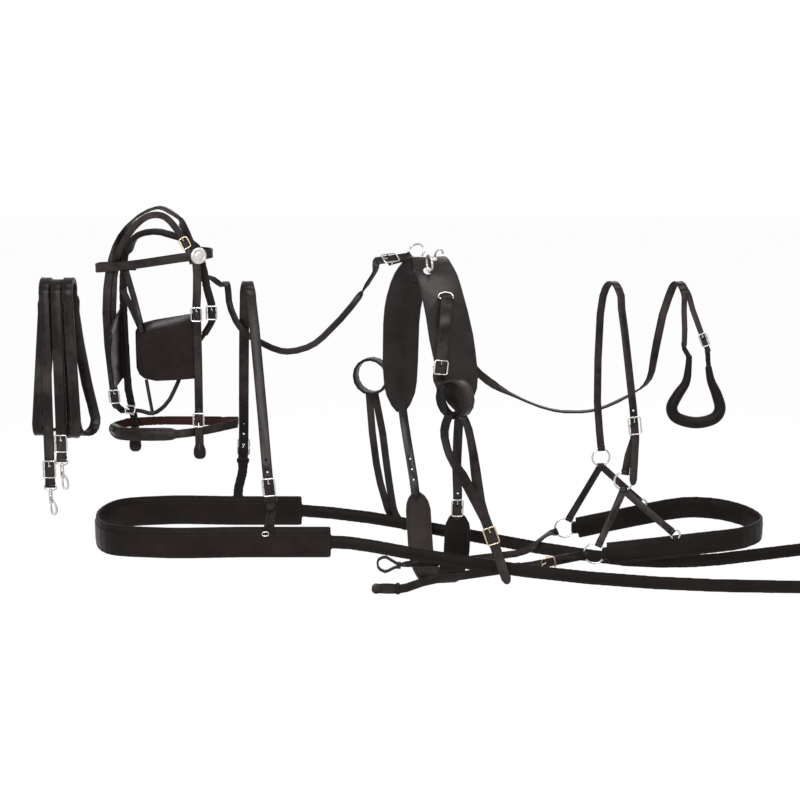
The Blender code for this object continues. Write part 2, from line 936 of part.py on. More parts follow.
rein("near", ((0, 2), (0, 1), (0, 0), (1, 0)), lane_x(0) - near_rein_lean, near_rein_end, (0, 0, lane_change))
rein("off", ((1, 1), (2, 2), (2, 1), (2, 0)), lane_x(1) - off_rein_lean, off_rein_end, (-lane_change, 0, 0))


# Breast collar: a wide folded band, hairpin in plan, with the traces sewn into its ends
def band_hairpin(name, near_end, far_end, bend_x, width, thick, bulge_share=0.30):
    """A band on edge that runs from its near end, round a bend and back to its far end."""
    bend = Vector((bend_x, (near_end.y + far_end.y) / 2, (near_end.z + far_end.z) / 2))
    turn_share = 0.93
    half = (far_end.y - near_end.y) / 2
    points = [near_end, near_end.lerp(Vector((bend_x, near_end.y, bend.z)), 0.35)]
    points.append(near_end.lerp(Vector((bend_x, near_end.y, bend.z)), 0.72) + near_side * half * bulge_share * 0.1)
    points.append(Vector((near_end.x + (bend_x - near_end.x) * turn_share, bend.y - half * 0.80, bend.z)))
    points.append(bend)
    points.append(Vector((far_end.x + (bend_x - far_end.x) * turn_share, bend.y + half * 0.80, bend.z)))
    points.append(far_end.lerp(Vector((bend_x, far_end.y, bend.z)), 0.72) + far_side * half * bulge_share * 0.1)
    points.append(far_end.lerp(Vector((bend_x, far_end.y, bend.z)), 0.35))
    points.append(far_end)
    return ribbon(name, points, up, width, thick)


near_collar_end = Vector((-collar_near_x, -collar_near_y, -collar_drop))
far_collar_end = Vector((-collar_far_x, collar_far_y, -collar_drop))
collar = band_hairpin("breast_collar", near_collar_end, far_collar_end, -collar_bend_x, collar_width, collar_thick)

near_trace_shares = (
    (0.0, 0.0, 0.0), (0.04, 0.0, 0.02), (0.14, 0.6, 0.18), (0.30, 1.0, 0.48),
    (0.48, 1.0, 0.74), (0.66, 1.0, 0.90), (0.84, 1.0, 0.97), (1.0, 0.8, 1.0),
)
far_trace_shares = (
    (0.0, 0.0, 0.0), (0.03, 0.02, 0.04), (0.16, 0.10, 0.42), (0.28, 0.26, 0.95), (0.40, 0.42, 1.45),
    (0.52, 0.60, 1.85), (0.63, 0.78, 2.10), (0.75, 0.90, 2.00), (0.87, 0.96, 1.55), (1.0, 1.0, 1.0),
)
collar_sink = collar_thick * 2
near_trace_start = near_collar_end + left * collar_sink
far_trace_start = far_collar_end + left * collar_sink
near_trace_end = Vector((trace_end_x, -collar_near_y - trace_width / 2, -trace_near_drop))
far_trace_end = Vector((trace_end_x, -trace_width, -trace_far_drop))
near_trace_points = place(near_trace_start, near_trace_end, near_trace_shares)
far_trace_points = place(far_trace_start, far_trace_end, far_trace_shares)
for side, points in (("near", near_trace_points), ("off", far_trace_points)):
    trace = ribbon("trace_" + side, points, up, trace_width, trace_thick, (False, True))
    slot_start = points[-1] + left * (trace_slot_length + trace_width)
    slot = block(
        "trace_slot_" + side,
        Matrix.Translation(slot_start),
        Vector((0, -trace_width, -trace_slot_width / 2)),
        Vector((trace_slot_length, trace_width, trace_slot_width / 2)),
    )
    join(collar, cut(trace, slot))


# Neck strap: over the rail, with a buckle on each leg that takes up the collar's drop
leg_swing_share = 0.35


def neck_side(side, rail_x, at, out, collar_y, attach_x):
    """One leg's buckle and the collar's drop up to it. It gives back the points of the leg."""
    rail_edge = layer_radius(0)
    top = Vector((rail_x, math.copysign(rail_edge, out.y), 0))
    leg = at - top
    leg.y *= leg_swing_share
    piece, frame, back, hole = buckle("neck_buckle_" + side, at, leg, out)
    keep(piece, bright_steel)
    leg_shares = ((0.06, 0.02, 0.07), (0.32, 0.22, 0.33), (0.62, 0.56, 0.62))
    points = place(top, at, leg_shares) + through(at, leg, buckle_length)[1:]
    points.append(points[-1] + leg.normalized() * tail_length)
    bar = frame @ Vector((0, 0, -back))
    on_collar = Vector((attach_x, collar_y + math.copysign((collar_thick + chape_thick) / 2 - fit, collar_y), 0))
    low = -collar_drop
    drop_points = [
        bar,
        bar + leg.normalized() * buckle_length * 1.4,
        Vector((attach_x, on_collar.y, low + collar_width * 0.62)),
        Vector((attach_x, on_collar.y, low + collar_width * 0.30)),
        Vector((attach_x, on_collar.y, low - collar_width * 0.05)),
    ]
    drop = ribbon("neck_drop_" + side, drop_points, right, strap_width, chape_thick, (False, True))
    with_bar_eye(drop, frame, back)
    join(collar, with_keeper(drop, frame, back, buckle_length / 2 + keeper_width))
    return points, hole, frame


near_neck_at = Vector((-neck_buckle_x, -neck_buckle_y, -neck_buckle_drop))
far_neck_at = Vector((-neck_far_buckle_x, neck_far_buckle_y, -neck_far_buckle_drop))
near_leg, near_hole, near_frame = neck_side(
    "near", -neck_near_x, near_neck_at, near_side, -collar_near_y, -neck_buckle_x + lap
)
far_leg, far_hole, far_frame = neck_side(
    "off", -neck_far_x, far_neck_at, far_side, collar_far_y, -neck_far_buckle_x - narrow_width
)
neck_points = list(reversed(near_leg)) + over_rail(-neck_near_x, -neck_far_x) + far_leg
neck_strap = ribbon("neck_strap", neck_points, right, tips=(True, True))
cut(neck_strap, near_hole, far_hole)
for frame in (near_frame, far_frame):
    spare_holes(neck_strap, frame, buckle_length)
keep(neck_strap, black_leather)
keep(collar, padded_leather)


# Saddle: a leather-covered arch on a stuffed panel that rides the rail, with its fittings
saddle_side = Vector((1, 0.25, 0)).normalized()
saddle_tip_shares = ((0.0, 0.42), (0.10, 0.66), (0.25, 0.86), (0.5, 1.0))
saddle_near_low = Vector((saddle_near_x, -saddle_near_y, -saddle_near_drop))
saddle_far_low = Vector((-saddle_far_x, saddle_far_y, -saddle_far_drop))
saddle_peak = Vector((-saddle_thick, 0, saddle_top))
near_flap_shares = ((1.0, 1.0, 1.0), (0.92, 1.02, 0.78), (0.74, 0.84, 0.54), (0.50, 0.56, 0.27), (0.24, 0.27, 0.075))
far_flap_shares = ((0.45, 0.27, 0.075), (0.86, 0.56, 0.26), (1.02, 0.80, 0.60), (1.02, 0.92, 0.80), (1.0, 1.0, 1.0))
saddle_points = place(saddle_peak, saddle_near_low, near_flap_shares) + [saddle_peak]
saddle_points += place(saddle_peak, saddle_far_low, far_flap_shares)
saddle_width_shares = ((0.0, 0.80), (0.2, 1.0), (0.40, 0.90), (0.5, 0.80), (0.62, 0.86), (0.85, 0.84), (1.0, 0.72))
saddle = ribbon("saddle", saddle_points, saddle_side, saddle_width, saddle_thick, (True, True), saddle_width_shares)
panel_radius = (saddle_top - saddle_thick / 2 - rail_radius) / 2
panel = peg(
    "saddle_panel",
    Vector((-panel_length / 2, 0, rail_radius + panel_radius)),
    Vector((panel_length / 2, 0, rail_radius + panel_radius)),
    panel_radius + lap,
    12,
)
panel_bore = peg(
    "rail_bore", left * saddle_width, right * saddle_width, rail_radius + rail_clearance, 24
)
cut(join(saddle, panel), panel_bore)


def fitting(obj):
    """Trims a fitting's foot to the saddle's curve, with air under it."""
    skin = ribbon(
        obj.name + "_skin", saddle_points, saddle_side, saddle_width, saddle_thick + 4 * fit, (True, True),
        saddle_width_shares,
    )
    return keep(cut(obj, skin), bright_steel)


def terret(name, base, out, axis):
    """A ring on a turned foot that stands square on the saddle."""
    centre = base + out * (terret_base_height + terret_radius)
    ring = torus(name, centre, axis - out * axis.dot(out), terret_radius, terret_wire, 16, ring_sides)
    top = base + out * (terret_base_height + terret_wire)
    foot = peg(name + "_foot", base - out * lap, top, terret_base_radius, 12, terret_base_radius * 0.45)
    fitting(join(ring, foot))
    return centre, (axis - out * axis.dot(out)).normalized(), terret_radius


def on_saddle(share):
    """A place on the saddle's outer face: its share of the way from the near tip to the far one."""
    rows = edges_of(saddle_points, saddle_side, saddle_width)
    i = round(share * (len(rows) - 1))
    middle = (rows[i][0] + rows[i][1]) / 2
    ahead = sum(rows[i + 1], Vector()) - sum(rows[i - 1], Vector())
    out = ahead.cross(rows[i][1] - rows[i][0]).normalized()
    if out.z < 0:
        out = -out
    return middle + out * saddle_thick / 2, out


far_terret_share, near_terret_share, hook_share = 0.545, 0.40, 0.47
base, out = on_saddle(far_terret_share)
far_terret = terret("terret_off", base - saddle_side * terret_radius / 2, out, Vector((0.25, 1, 0)))
base, out = on_saddle(near_terret_share)
terret("terret_near", base - saddle_side * terret_radius, out, Vector((1, 0.15, 0.25)))
base, out = on_saddle(hook_share)
hook_base = base + saddle_side * terret_base_radius
hook_turn = Matrix.Translation(hook_base) @ standing(out)
hook_path_shares = ((0, 0, 0), (0, 0, 0.55), (0.12, 0, 0.86), (0.42, 0, 1.0), (0.72, 0, 0.84), (0.8, 0, 0.6))
hook_points = place(Vector(), Vector((hook_height * 0.8, 0, hook_height)), hook_path_shares)
hook_shape = tube("bearing_hook", [hook_turn @ point for point in hook_points], hook_wire)
hook_foot = peg(
    "hook_foot", hook_base - out * lap, hook_base + out * terret_base_height, terret_base_radius * 0.7, 10
)
fitting(join(hook_shape, hook_foot))

# The billets under the flaps' tips
girth_buckle_at = Vector((girth_near_x, -girth_near_y, -girth_near_top + buckle_length * 0.4))
billet_near_shares = ((0, -0.007, 0.019, 0.097), (0.19, -0.017, 0.01, 0.003), (0.53, -0.021, 0.003, -0.002))
billet_far_shares = ((0, 0.005, -0.016, 0.127), (0.16, 0.016, -0.015, 0.003), (0.5, 0.013, -0.018, 0.005), (0.81, 0.01, -0.02, 0.006))
far_billet_end = Vector((-girth_far_x, girth_far_y - girth_thick - lap, -girth_far_top - billet_width * 1.6))
billet_run = girth_buckle_at - saddle_near_low
billet_run.y *= hang_share
billet_points = drape(saddle_near_low, girth_buckle_at, billet_near_shares)
billet_points += through(girth_buckle_at, billet_run, buckle_length / 2)
billet_points.append(billet_points[-1] + down * tail_length * 0.8)
near_billet = ribbon("near_billet", billet_points, right, billet_width, strap_thick, (False, True))
far_billet_points = drape(saddle_far_low, far_billet_end, billet_far_shares) + [far_billet_end]
far_billet = ribbon("far_billet", far_billet_points, right, billet_width, strap_thick, (False, True))
girth_piece, girth_frame, girth_back, girth_hole = buckle(
    "girth_buckle", girth_buckle_at, billet_run, near_side, billet_width, strap_thick
)
keep(girth_piece, bright_steel)
spare_holes(cut(near_billet, girth_hole), girth_frame, buckle_length, 1)
for i in range(3):
    middle = far_billet_points[-2] + (far_billet_points[-3] - far_billet_points[-2]) * (0.1 + 0.38 * i)
    reach = near_side * strap_thick * 2
    cut(far_billet, peg(f"far_billet_punch_{i}", middle - reach, middle + reach, punch_radius, 6))
join(saddle, near_billet, far_billet)
keep(saddle, black_leather)


# The dee on the near flap, and the strap and buckle that hang from it
dee_share = 0.315
dee_base, dee_out = on_saddle(dee_share)
dee_centre = dee_base + dee_out * wire_radius * 0.4 + saddle_side * dee_shift
dee_along = dee_out.cross(saddle_side).normalized()
if dee_along.z > 0:
    dee_along = -dee_along
dee_lean = 1.0
dee_hang = (dee_along + dee_out * dee_lean).normalized()
dee_shares = ((-1, 0.1), (-0.75, -0.55), (0, -0.8), (0.75, -0.55), (1, 0.1), (0.82, 0.62), (-0.82, 0.62))
dee_points = [
    dee_centre + saddle_side * (dee_half_width * x) + (dee_hang if y > 0 else dee_along) * (dee_drop * y)
    for x, y in dee_shares
]
join(saddle, tube("tug_dee", dee_points, wire_radius, cyclic=True))

tug_out = Vector((saddle_side.y, -saddle_side.x, 0))
tug_near_at = Vector((tug_near_x, -tug_near_y, -tug_buckle_drop))
tug_fall_share = 0.25
tug_top = dee_centre + dee_hang * dee_drop * 0.62
tug_fall = tug_near_at - tug_top
tug_fall.y *= tug_fall_share
tug_piece, tug_frame, tug_back, tug_hole = buckle(
    "tug_buckle", tug_near_at, tug_fall, tug_out, tug_strap_width, strap_thick, small_buckle_length, strap_thick
)
keep(tug_piece, bright_steel)
tug_strap_shares = ((0.0, 0.0, 0.0), (0.16, 0.42, 0.13), (0.45, 0.80, 0.42))
tug_strap_points = place(tug_top, tug_near_at, tug_strap_shares)
tug_strap_points += through(tug_near_at, tug_fall, small_buckle_length / 2)
tug_strap_points.append(tug_strap_points[-1] + tug_fall.normalized() * tail_length / 2)
tug_strap = ribbon("tug_strap_near", tug_strap_points, saddle_side, tug_strap_width, strap_thick, (False, True))
dee_bar = tube("dee_bar", dee_points, wire_radius + fit, cyclic=True)
tug_roll_side = saddle_side * (tug_strap_width / 2 - fit)
tug_roll = peg("tug_roll", tug_top - tug_roll_side, tug_top + tug_roll_side, wire_radius + fit + strap_thick)
keep(cut(join(tug_strap, tug_roll), dee_bar, tug_hole), black_leather)


# Shaft tugs: a stiff leather loop on each side, which takes the end of a shaft
def tug_loop(name, centre, axis):
    reach = axis.normalized() * tug_loop_width / 2
    band = peg(name, centre - reach, centre + reach, tug_loop_radius + tug_loop_thick / 2, ring_steps)
    bore = peg(name + "_bore", centre - reach * 2, centre + reach * 2, tug_loop_radius - tug_loop_thick / 2, ring_steps)
    return cut(band, bore)


tug_near_across = Vector((0.75, -0.66, 0)).normalized()
tug_near_axis = Vector((0.66, 0.75, 0)).normalized()
tug_bar = tug_frame @ Vector((0, 0, -tug_back))
tug_side_at = Vector((tug_near_x, -tug_near_y - lap, -tug_loop_drop))
tug_near_centre = tug_side_at + tug_near_across * tug_loop_radius
tug_near = tug_loop("shaft_tug_near", tug_near_centre, tug_near_axis)
tug_chape_points = [
    tug_bar,
    tug_bar + tug_fall.normalized() * small_buckle_length * 0.8,
    tug_side_at + up * tug_loop_radius * 0.45,
    tug_side_at,
    tug_side_at + down * tug_loop_radius * 0.2,
]
tug_chape_across = [saddle_side, saddle_side, tug_near_axis, tug_near_axis, tug_near_axis]
tug_chape = ribbon("tug_chape", tug_chape_points, tug_chape_across, tug_strap_width, strap_thick)
with_bar_eye(tug_chape, tug_frame, tug_back, strap_thick, tug_strap_width)
keep(join(tug_near, tug_chape), black_leather)

tug_off_centre = Vector((-tug_off_x, tug_off_y, -tug_off_drop))
tug_off = tug_loop("shaft_tug_off", tug_off_centre, Vector((0.35, 1, 0)))
off_tug_low = tug_off_centre + down * tug_loop_radius
off_tug_end = Vector((-off_strap_end_x, off_strap_end_y, -off_strap_end_drop))
off_arm_a_shares = ((0, -0.02, 0, 0), (0.3, -0.07, 0.03, -0.02), (0.7, -0.10, 0.04, -0.03), (0.9, -0.08, 0.03, -0.02), (1, 0, 0, 0))
off_arm_b_shares = ((0, 0.02, 0, 0), (0.3, 0.0, 0.03, 0), (0.7, -0.045, 0.04, -0.02), (0.89, -0.05, 0.025, -0.02), (1, 0, 0, 0))
for name, shares in (("off_arm_a", off_arm_a_shares), ("off_arm_b", off_arm_b_shares)):
    join(tug_off, ribbon(name, drape(off_tug_low, off_tug_end, shares), right, narrow_width, strap_thick, (False, True)))
keep(tug_off, black_leather)


# Girth: one padded strap hung as a deep U between the two billets
girth_near_end = Vector((girth_near_x, -girth_near_y + girth_thick / 2 + strap_thick * 1.5, -girth_near_top))
girth_far_end = Vector((-girth_far_x, girth_far_y, -girth_far_top - billet_width))
girth_hang_shares = (
    (0, 0, 0, 0), (0, 0.007, 0, -0.278), (0.06, 0.005, -0.005, -0.675),
    (0.29, 0.008, -0.014, -0.963), (0.61, 0.005, -0.007, -1.045), (0.86, 0.019, -0.007, -0.903),
    (0.95, 0.026, 0.009, -0.597), (0.99, 0.028, 0.008, -0.265), (1, 0, 0, 0),
)
girth_points = drape(girth_near_end, girth_far_end, girth_hang_shares)
girth = ribbon("girth", girth_points, right, girth_width, girth_thick, (True, True))
girth_bar = girth_frame @ Vector((0, 0, -girth_back))
girth_chape_points = [
    girth_bar,
    girth_bar + billet_run.normalized() * buckle_length * 0.6,
    girth_points[0].lerp(girth_points[1], 0.55) + near_side * (girth_thick / 2 - chape_thick / 3),
    girth_points[0].lerp(girth_points[1], 0.9),
]
girth_chape = ribbon("girth_chape", girth_chape_points, right, billet_width, chape_thick)
with_bar_eye(girth_chape, girth_frame, girth_back, chape_thick, billet_width)
keep(join(girth, girth_chape), padded_leather)


# Bellyband: one strap through the near shaft tug, both of its ends meeting at the buckle
belly_at = Vector((belly_buckle_x, -belly_y, -belly_buckle_drop))
belly_end = Vector((belly_end_x, -belly_y, -belly_end_drop))
belly_back_shares = ((0.81, -0.016, 0.04, -0.003), (0.61, 0, 0.08, 0.002), (0.37, 0.027, 0.086, 0.004), (0.2, 0.027, 0.075, 0.013))
belly_front_shares = ((0.15, -0.107, -0.075, -0.035), (0.33, -0.129, -0.072, -0.034), (0.53, -0.08, -0.04, -0.021), (0.75, -0.036, -0.023, -0.007))
belly_run = (belly_end - belly_at).normalized()
belly_piece, belly_frame, belly_back, belly_hole = buckle(
    "bellyband_buckle", belly_at, belly_run, near_side, strap_width, strap_thick, buckle_length, strap_thick
)
keep(belly_piece, bright_steel)
belly_bar = belly_frame @ Vector((0, 0, -belly_back))
in_tug = tug_near_centre + down * (tug_loop_radius - tug_loop_thick - strap_thick * 0.75)
belly_points = [belly_bar, belly_bar - belly_run * buckle_length / 2]
belly_points += drape(tug_near_centre, belly_at, belly_back_shares)
belly_points += [in_tug + tug_near_axis * tug_loop_width * 0.62 + down * lap, in_tug + tug_near_axis * tug_loop_width / 4]
belly_points += [in_tug - tug_near_axis * tug_loop_width / 4, in_tug - tug_near_axis * tug_loop_width * 0.62 + down * lap]
belly_points += drape(tug_near_centre, belly_at, belly_front_shares)
belly_points += through(belly_at, belly_run, buckle_length * 0.75)
belly_points.append(belly_end)
belly_across = [right] * 4 + [tug_near_across] * 8 + [right] * 7
bellyband = ribbon("bellyband", belly_points, belly_across, strap_width, strap_thick, (False, True))
keep(cut(with_bar_eye(bellyband, belly_frame, belly_back, strap_thick), belly_hole), black_leather)


# Backstrap: from under the near flap, behind the breeching and over the rail, where it forks to the crupper
back_start = Vector((back_start_x, -back_start_y, -back_start_drop))
back_top_radius = rail_radius + rail_clearance + back_thick / 2
back_rise = Vector((back_rail_x, back_top_radius, 0))
backstrap_shares = (
    (0, 0, 0, 0), (0.07, 0.018, 0.016, -0.13), (0.25, 0.047, 0.068, -0.309),
    (0.5, 0.051, 0.175, -0.456), (0.63, 0.052, 0.205, -0.484), (0.76, 0.055, 0.146, -0.447),
    (0.84, 0.061, 0.072, -0.389), (0.9, 0.04, 0.039, -0.222), (0.96, 0.011, 0.015, -0.077),
)
back_points = drape(back_start, back_rise, backstrap_shares)
back_across = [right, right] + [far_side] * 4 + [(right + far_side).normalized(), right, right]
back_over = list(reversed(over_rail(crupper_rail_x, back_rail_x, 0, 6, back_thick)[1:-1]))
back_points += back_over
back_across += [right] * len(back_over)
backstrap = ribbon("backstrap", back_points, back_across, back_width, back_thick)
fork_start = back_over[4].lerp(back_over[5], 0.4)
fork_left_end = Vector((crupper_rail_x + lap, -crupper_y, -fork_end_drop))
crupper_at = Vector((crupper_buckle_x, -crupper_y - lap * 4, -crupper_buckle_drop))
fork_clear = back_top_radius * 0.1
fork_left = [
    fork_start + left * fork_width * 0.2,
    back_over[6] + left * fork_width * 0.25 + near_side * fork_clear,
    back_over[6] + left * fork_width * 0.25 + near_side * fork_clear * 2 + down * back_top_radius,
    back_over[6].lerp(fork_left_end, 0.6),
    fork_left_end,
]
crupper_run = crupper_at - back_over[6]
crupper_run.y = 0
fork_right = [
    fork_start + right * fork_width * 0.2,
    back_over[6] + right * fork_width * 0.5 + near_side * fork_clear,
    back_over[6] + right * fork_width * 1.05 + near_side * fork_clear * 2 + down * back_top_radius,
]
fork_right += through(crupper_at, crupper_run, small_buckle_length / 2)
fork_right.append(fork_right[-1] + crupper_run.normalized() * tail_length * 1.4)
crupper_piece, crupper_frame, crupper_back, crupper_hole = buckle(
    "crupper_buckle", crupper_at, crupper_run, near_side, fork_width, back_thick, small_buckle_length, back_thick
)
keep(crupper_piece, bright_steel)
branch_left = ribbon("fork_left", fork_left, right, fork_width, back_thick * 0.9, (False, True))
branch_right = ribbon("fork_right", fork_right, right, fork_width, back_thick * 0.9, (False, True))
keep(join(backstrap, branch_left, cut(branch_right, crupper_hole)), black_leather)


# Crupper dock: a stuffed roll between its two straps
dock_axis_y = -crupper_y
dock_box = Vector((crupper_x, dock_axis_y, 0))
dock_size = Vector((crupper_width / 2, 0, -crupper_drop))
dock_route_shares = (
    (-0.36, 0, 0.47), (-0.37, 0, 0.56), (-0.45, 0, 0.68), (-0.76, 0, 0.78), (-1.0, 0, 0.88), (-0.77, 0, 0.96),
    (0.0, 0, 1.0), (0.74, 0, 0.97), (1.0, 0, 0.89), (0.84, 0, 0.78), (0.58, 0, 0.67), (0.45, 0, 0.56),
)
dock_points = [dock_box + Vector((dock_size.x * x, 0, dock_size.z * z)) for x, _, z in dock_route_shares]
dock_radii_shares = ((0, 0.50), (0.10, 0.60), (0.28, 0.85), (0.38, 1.0), (0.75, 1.0), (0.88, 0.85), (1, 0.55))
dock = tube("crupper_dock", dock_points, dock_radius, radii=dock_radii_shares)
lap_strap_points = [
    fork_left_end + up * dock_radius + far_side * (back_thick + lap) * 2,
    fork_left_end + far_side * (back_thick + lap) * 1.2,
    dock_points[0].lerp(dock_points[1], 0.2),
    dock_points[1],
]
lap_strap = ribbon("dock_lap", lap_strap_points, right, fork_width, chape_thick)
crupper_bar = crupper_frame @ Vector((0, 0, -crupper_back))
dock_chape_points = [
    crupper_bar,
    crupper_bar + crupper_run.normalized() * small_buckle_length * 0.8,
    dock_points[-1],
    dock_points[-2],
]
dock_chape = ribbon("dock_chape", dock_chape_points, right, fork_width, chape_thick)
with_bar_eye(dock_chape, crupper_frame, crupper_back, back_thick, fork_width)
keep(join(dock, lap_strap, dock_chape), padded_leather)


# Breeching: four rings first, since every strap of it is rolled round one of them
def ring(name, centre, axis, radius):
    axis = axis.normalized()
    keep(torus(name, centre, axis, radius, ring_wire, ring_steps, ring_sides), bright_steel)
    return centre, axis, radius


hip_near_centre = Vector((hip_ring_near_x, -hip_ring_near_y, -hip_ring_near_drop))
hip_far_centre = Vector((hip_ring_far_x, hip_ring_far_y, -hip_ring_far_drop))
seat_near_centre = Vector((seat_ring_near_x, -seat_ring_near_y, -seat_ring_drop))
seat_far_centre = Vector((seat_ring_far_x, seat_ring_far_y, -seat_ring_drop))
hip_near_ring = ring("hip_ring_near", hip_near_centre, Vector((0.15, 1, 0)), hip_ring_radius)
hip_far_ring = ring("hip_ring_off", hip_far_centre, Vector((-0.1, 1, 0)), hip_ring_radius)
seat_near_ring = ring("seat_ring_near", seat_near_centre, Vector((0.1, 1, 0)), ring_radius)
seat_far_ring = ring("seat_ring_off", seat_far_centre, Vector((-0.1, 1, 0)), ring_radius)

# Hip strap: a billet on the near leg, and the far leg sewn round its ring
hip_at = Vector((hip_buckle_x, -hip_buckle_y, -hip_buckle_drop))
hip_near_top = Vector((hip_near_x, -layer_radius(0), 0))
hip_near_shares = ((0.12, -0.003, 0.005, -0.003), (0.33, 0.002, 0.002, 0.002), (0.57, 0.004, -0.004, -0.004))
hip_near_leg = drape(hip_near_top, hip_at, hip_near_shares)
hip_run = hip_at - hip_near_leg[-1]
hip_run.y *= hang_share
hip_piece, hip_frame, hip_back, hip_hole = buckle("hip_buckle_near", hip_at, hip_run, near_side)
keep(hip_piece, bright_steel)
hip_tail = Vector((hip_buckle_x - lap * 3, -hip_buckle_y - ring_radius * 0.65, -hip_tail_drop))
hip_near_leg += through(hip_at, hip_run, buckle_length / 2)
hip_near_leg.append(hip_near_leg[-1].lerp(hip_tail, 0.5) + near_side * strap_thick)
hip_near_leg.append(hip_tail)
hip_far_top = Vector((hip_far_x, layer_radius(0), 0))
hip_far_end, hip_far_along = rim(*hip_far_ring, hip_far_centre + up)
hip_far_shares = (
    (0.09, -0.017, -0.001, -0.001), (0.27, -0.027, 0, -0.003), (0.51, -0.03, 0.005, -0.005),
    (0.73, -0.027, 0.003, 0.003), (0.91, -0.01, 0.001, 0.001), (1, 0, 0, 0),
)
hip_far_leg = drape(hip_far_top, hip_far_end, hip_far_shares)
hip_over = over_rail(hip_near_x, hip_far_x)[1:-1]
hip_points = list(reversed(hip_near_leg)) + hip_over + hip_far_leg
hip_strap = ribbon("hip_strap", hip_points, right, narrow_width, strap_thick, (True, False))
spare_holes(cut(hip_strap, hip_hole), hip_frame, buckle_length, 1)
keep(with_ring_eye(hip_strap, hip_far_ring, hip_far_centre + up, narrow_width), black_leather)

# The near side's own chape, from the buckle's bar to its ring
hip_bar = hip_frame @ Vector((0, 0, -hip_back))
chape_end, chape_along = rim(*hip_near_ring, hip_bar)
chape_points = [
    hip_bar,
    hip_bar + hip_run.normalized() * buckle_length * 0.5 + far_side * strap_thick,
    chape_end.lerp(hip_bar, 0.35) + far_side * lap,
    chape_end,
]
hip_chape = ribbon("hip_chape_near", chape_points, [right, right, chape_along, chape_along], narrow_width, chape_thick)
with_bar_eye(hip_chape, hip_frame, hip_back, chape_thick, narrow_width)
keep(with_ring_eye(hip_chape, hip_near_ring, hip_bar, narrow_width), black_leather)

# Breeching seat: a wide folded strap that runs round a bend, with a chape on each end's ring
seat_bend = Vector((seat_bend_x, 0, -seat_bend_drop))
seat_near_start = seat_near_centre + right * (ring_radius + strap_thick * 2)
seat_far_start = seat_far_centre + right * (ring_radius + strap_thick * 2)
seat_near_shares = (
    (0, 0, 0, 0), (0.22, 0.02, -0.076, 0.01), (0.53, 0.041, -0.164, 0.021),
    (0.79, 0.051, -0.193, 0.018), (0.93, 0.033, -0.112, 0.009), (1, 0, 0, 0),
)
seat_far_shares = (
    (0.92, 0.031, 0.117, 0.017), (0.8, 0.038, 0.181, 0.038), (0.65, 0.033, 0.167, 0.061),
    (0.33, 0.016, 0.09, 0.041), (0, 0, 0, 0),
)
seat_points = drape(seat_near_start, seat_bend, seat_near_shares) + drape(seat_far_start, seat_bend, seat_far_shares)
seat = ribbon("seat", seat_points, up, seat_width, seat_thick)
for name, held, start, end in (
    ("near", seat_near_ring, seat_near_start, seat_points[1]),
    ("off", seat_far_ring, seat_far_start, seat_points[-2]),
):
    rolled, along = rim(*held, start)
    tab = ribbon("seat_tab_" + name, [rolled, start, start.lerp(end, 0.25)], up, seat_width * 0.55, chape_thick)
    join(seat, with_ring_eye(tab, held, start, seat_width * 0.55))


def on_seat(shares, start, x, side):
    """A dee in front of the seat's face at a place along it, held by a leather loop that is part of the seat."""
    rows = [row[0] for row in flow([(point,) for point in drape(start, seat_bend, shares)])]
    row = min(rows, key=lambda point: abs(point.x - x))
    return row + side * (seat_thick / 2 + ring_wire + lap) + up * (seat_width / 2 + dee_radius * 0.45)


# Hangers: each is one strap, folded round its hip ring, with an arm to the seat's ring and one to a dee
def hanger(name, held, front_ring, dee, bow):
    low, along = rim(*held, held[0] + down)
    bows = ((0, 0, 0, 0), (0.3, 0, bow, 0), (0.7, 0, bow, 0), (1, 0, 0, 0))
    arms = []
    for arm_name, target in ((name, front_ring), (name + "_rear", dee)):
        end, run = rim(*target, low)
        flat = (end - low).cross(held[1]).normalized()
        if flat.dot(run) < 0:
            run = -run
        arm = ribbon(arm_name, drape(low, end, bows), [flat, flat, flat, run], hanger_width, strap_thick)
        arms.append(with_ring_eye(arm, target, low, hanger_width))
    join(*arms)
    return keep(with_ring_eye(arms[0], held, held[0] + down, hanger_width), black_leather)


for side, x, start, shares, face, held, front_ring in (
    ("near", seat_dee_near_x, seat_near_start, seat_near_shares, near_side, hip_near_ring, seat_near_ring),
    ("off", seat_dee_far_x, seat_far_start, seat_far_shares, near_side, hip_far_ring, seat_far_ring),
):
    middle = on_seat(shares, start, x, face)
    dee = ring("seat_dee_" + side, middle, near_side, dee_radius)
    keeper_low = middle + down * dee_radius
    grip = right * dee_radius * 0.5
    holder = peg("dee_holder_" + side, keeper_low - grip, keeper_low + grip, ring_wire + fit + chape_thick, 8)
    join(seat, holder)
    cut(seat, torus("dee_bore_" + side, middle, near_side, dee_radius, ring_wire + fit, ring_steps, ring_sides))
    hanger("hanger_" + side, held, front_ring, dee, -0.03 if side == "near" else 0.0)
keep(seat, padded_leather)


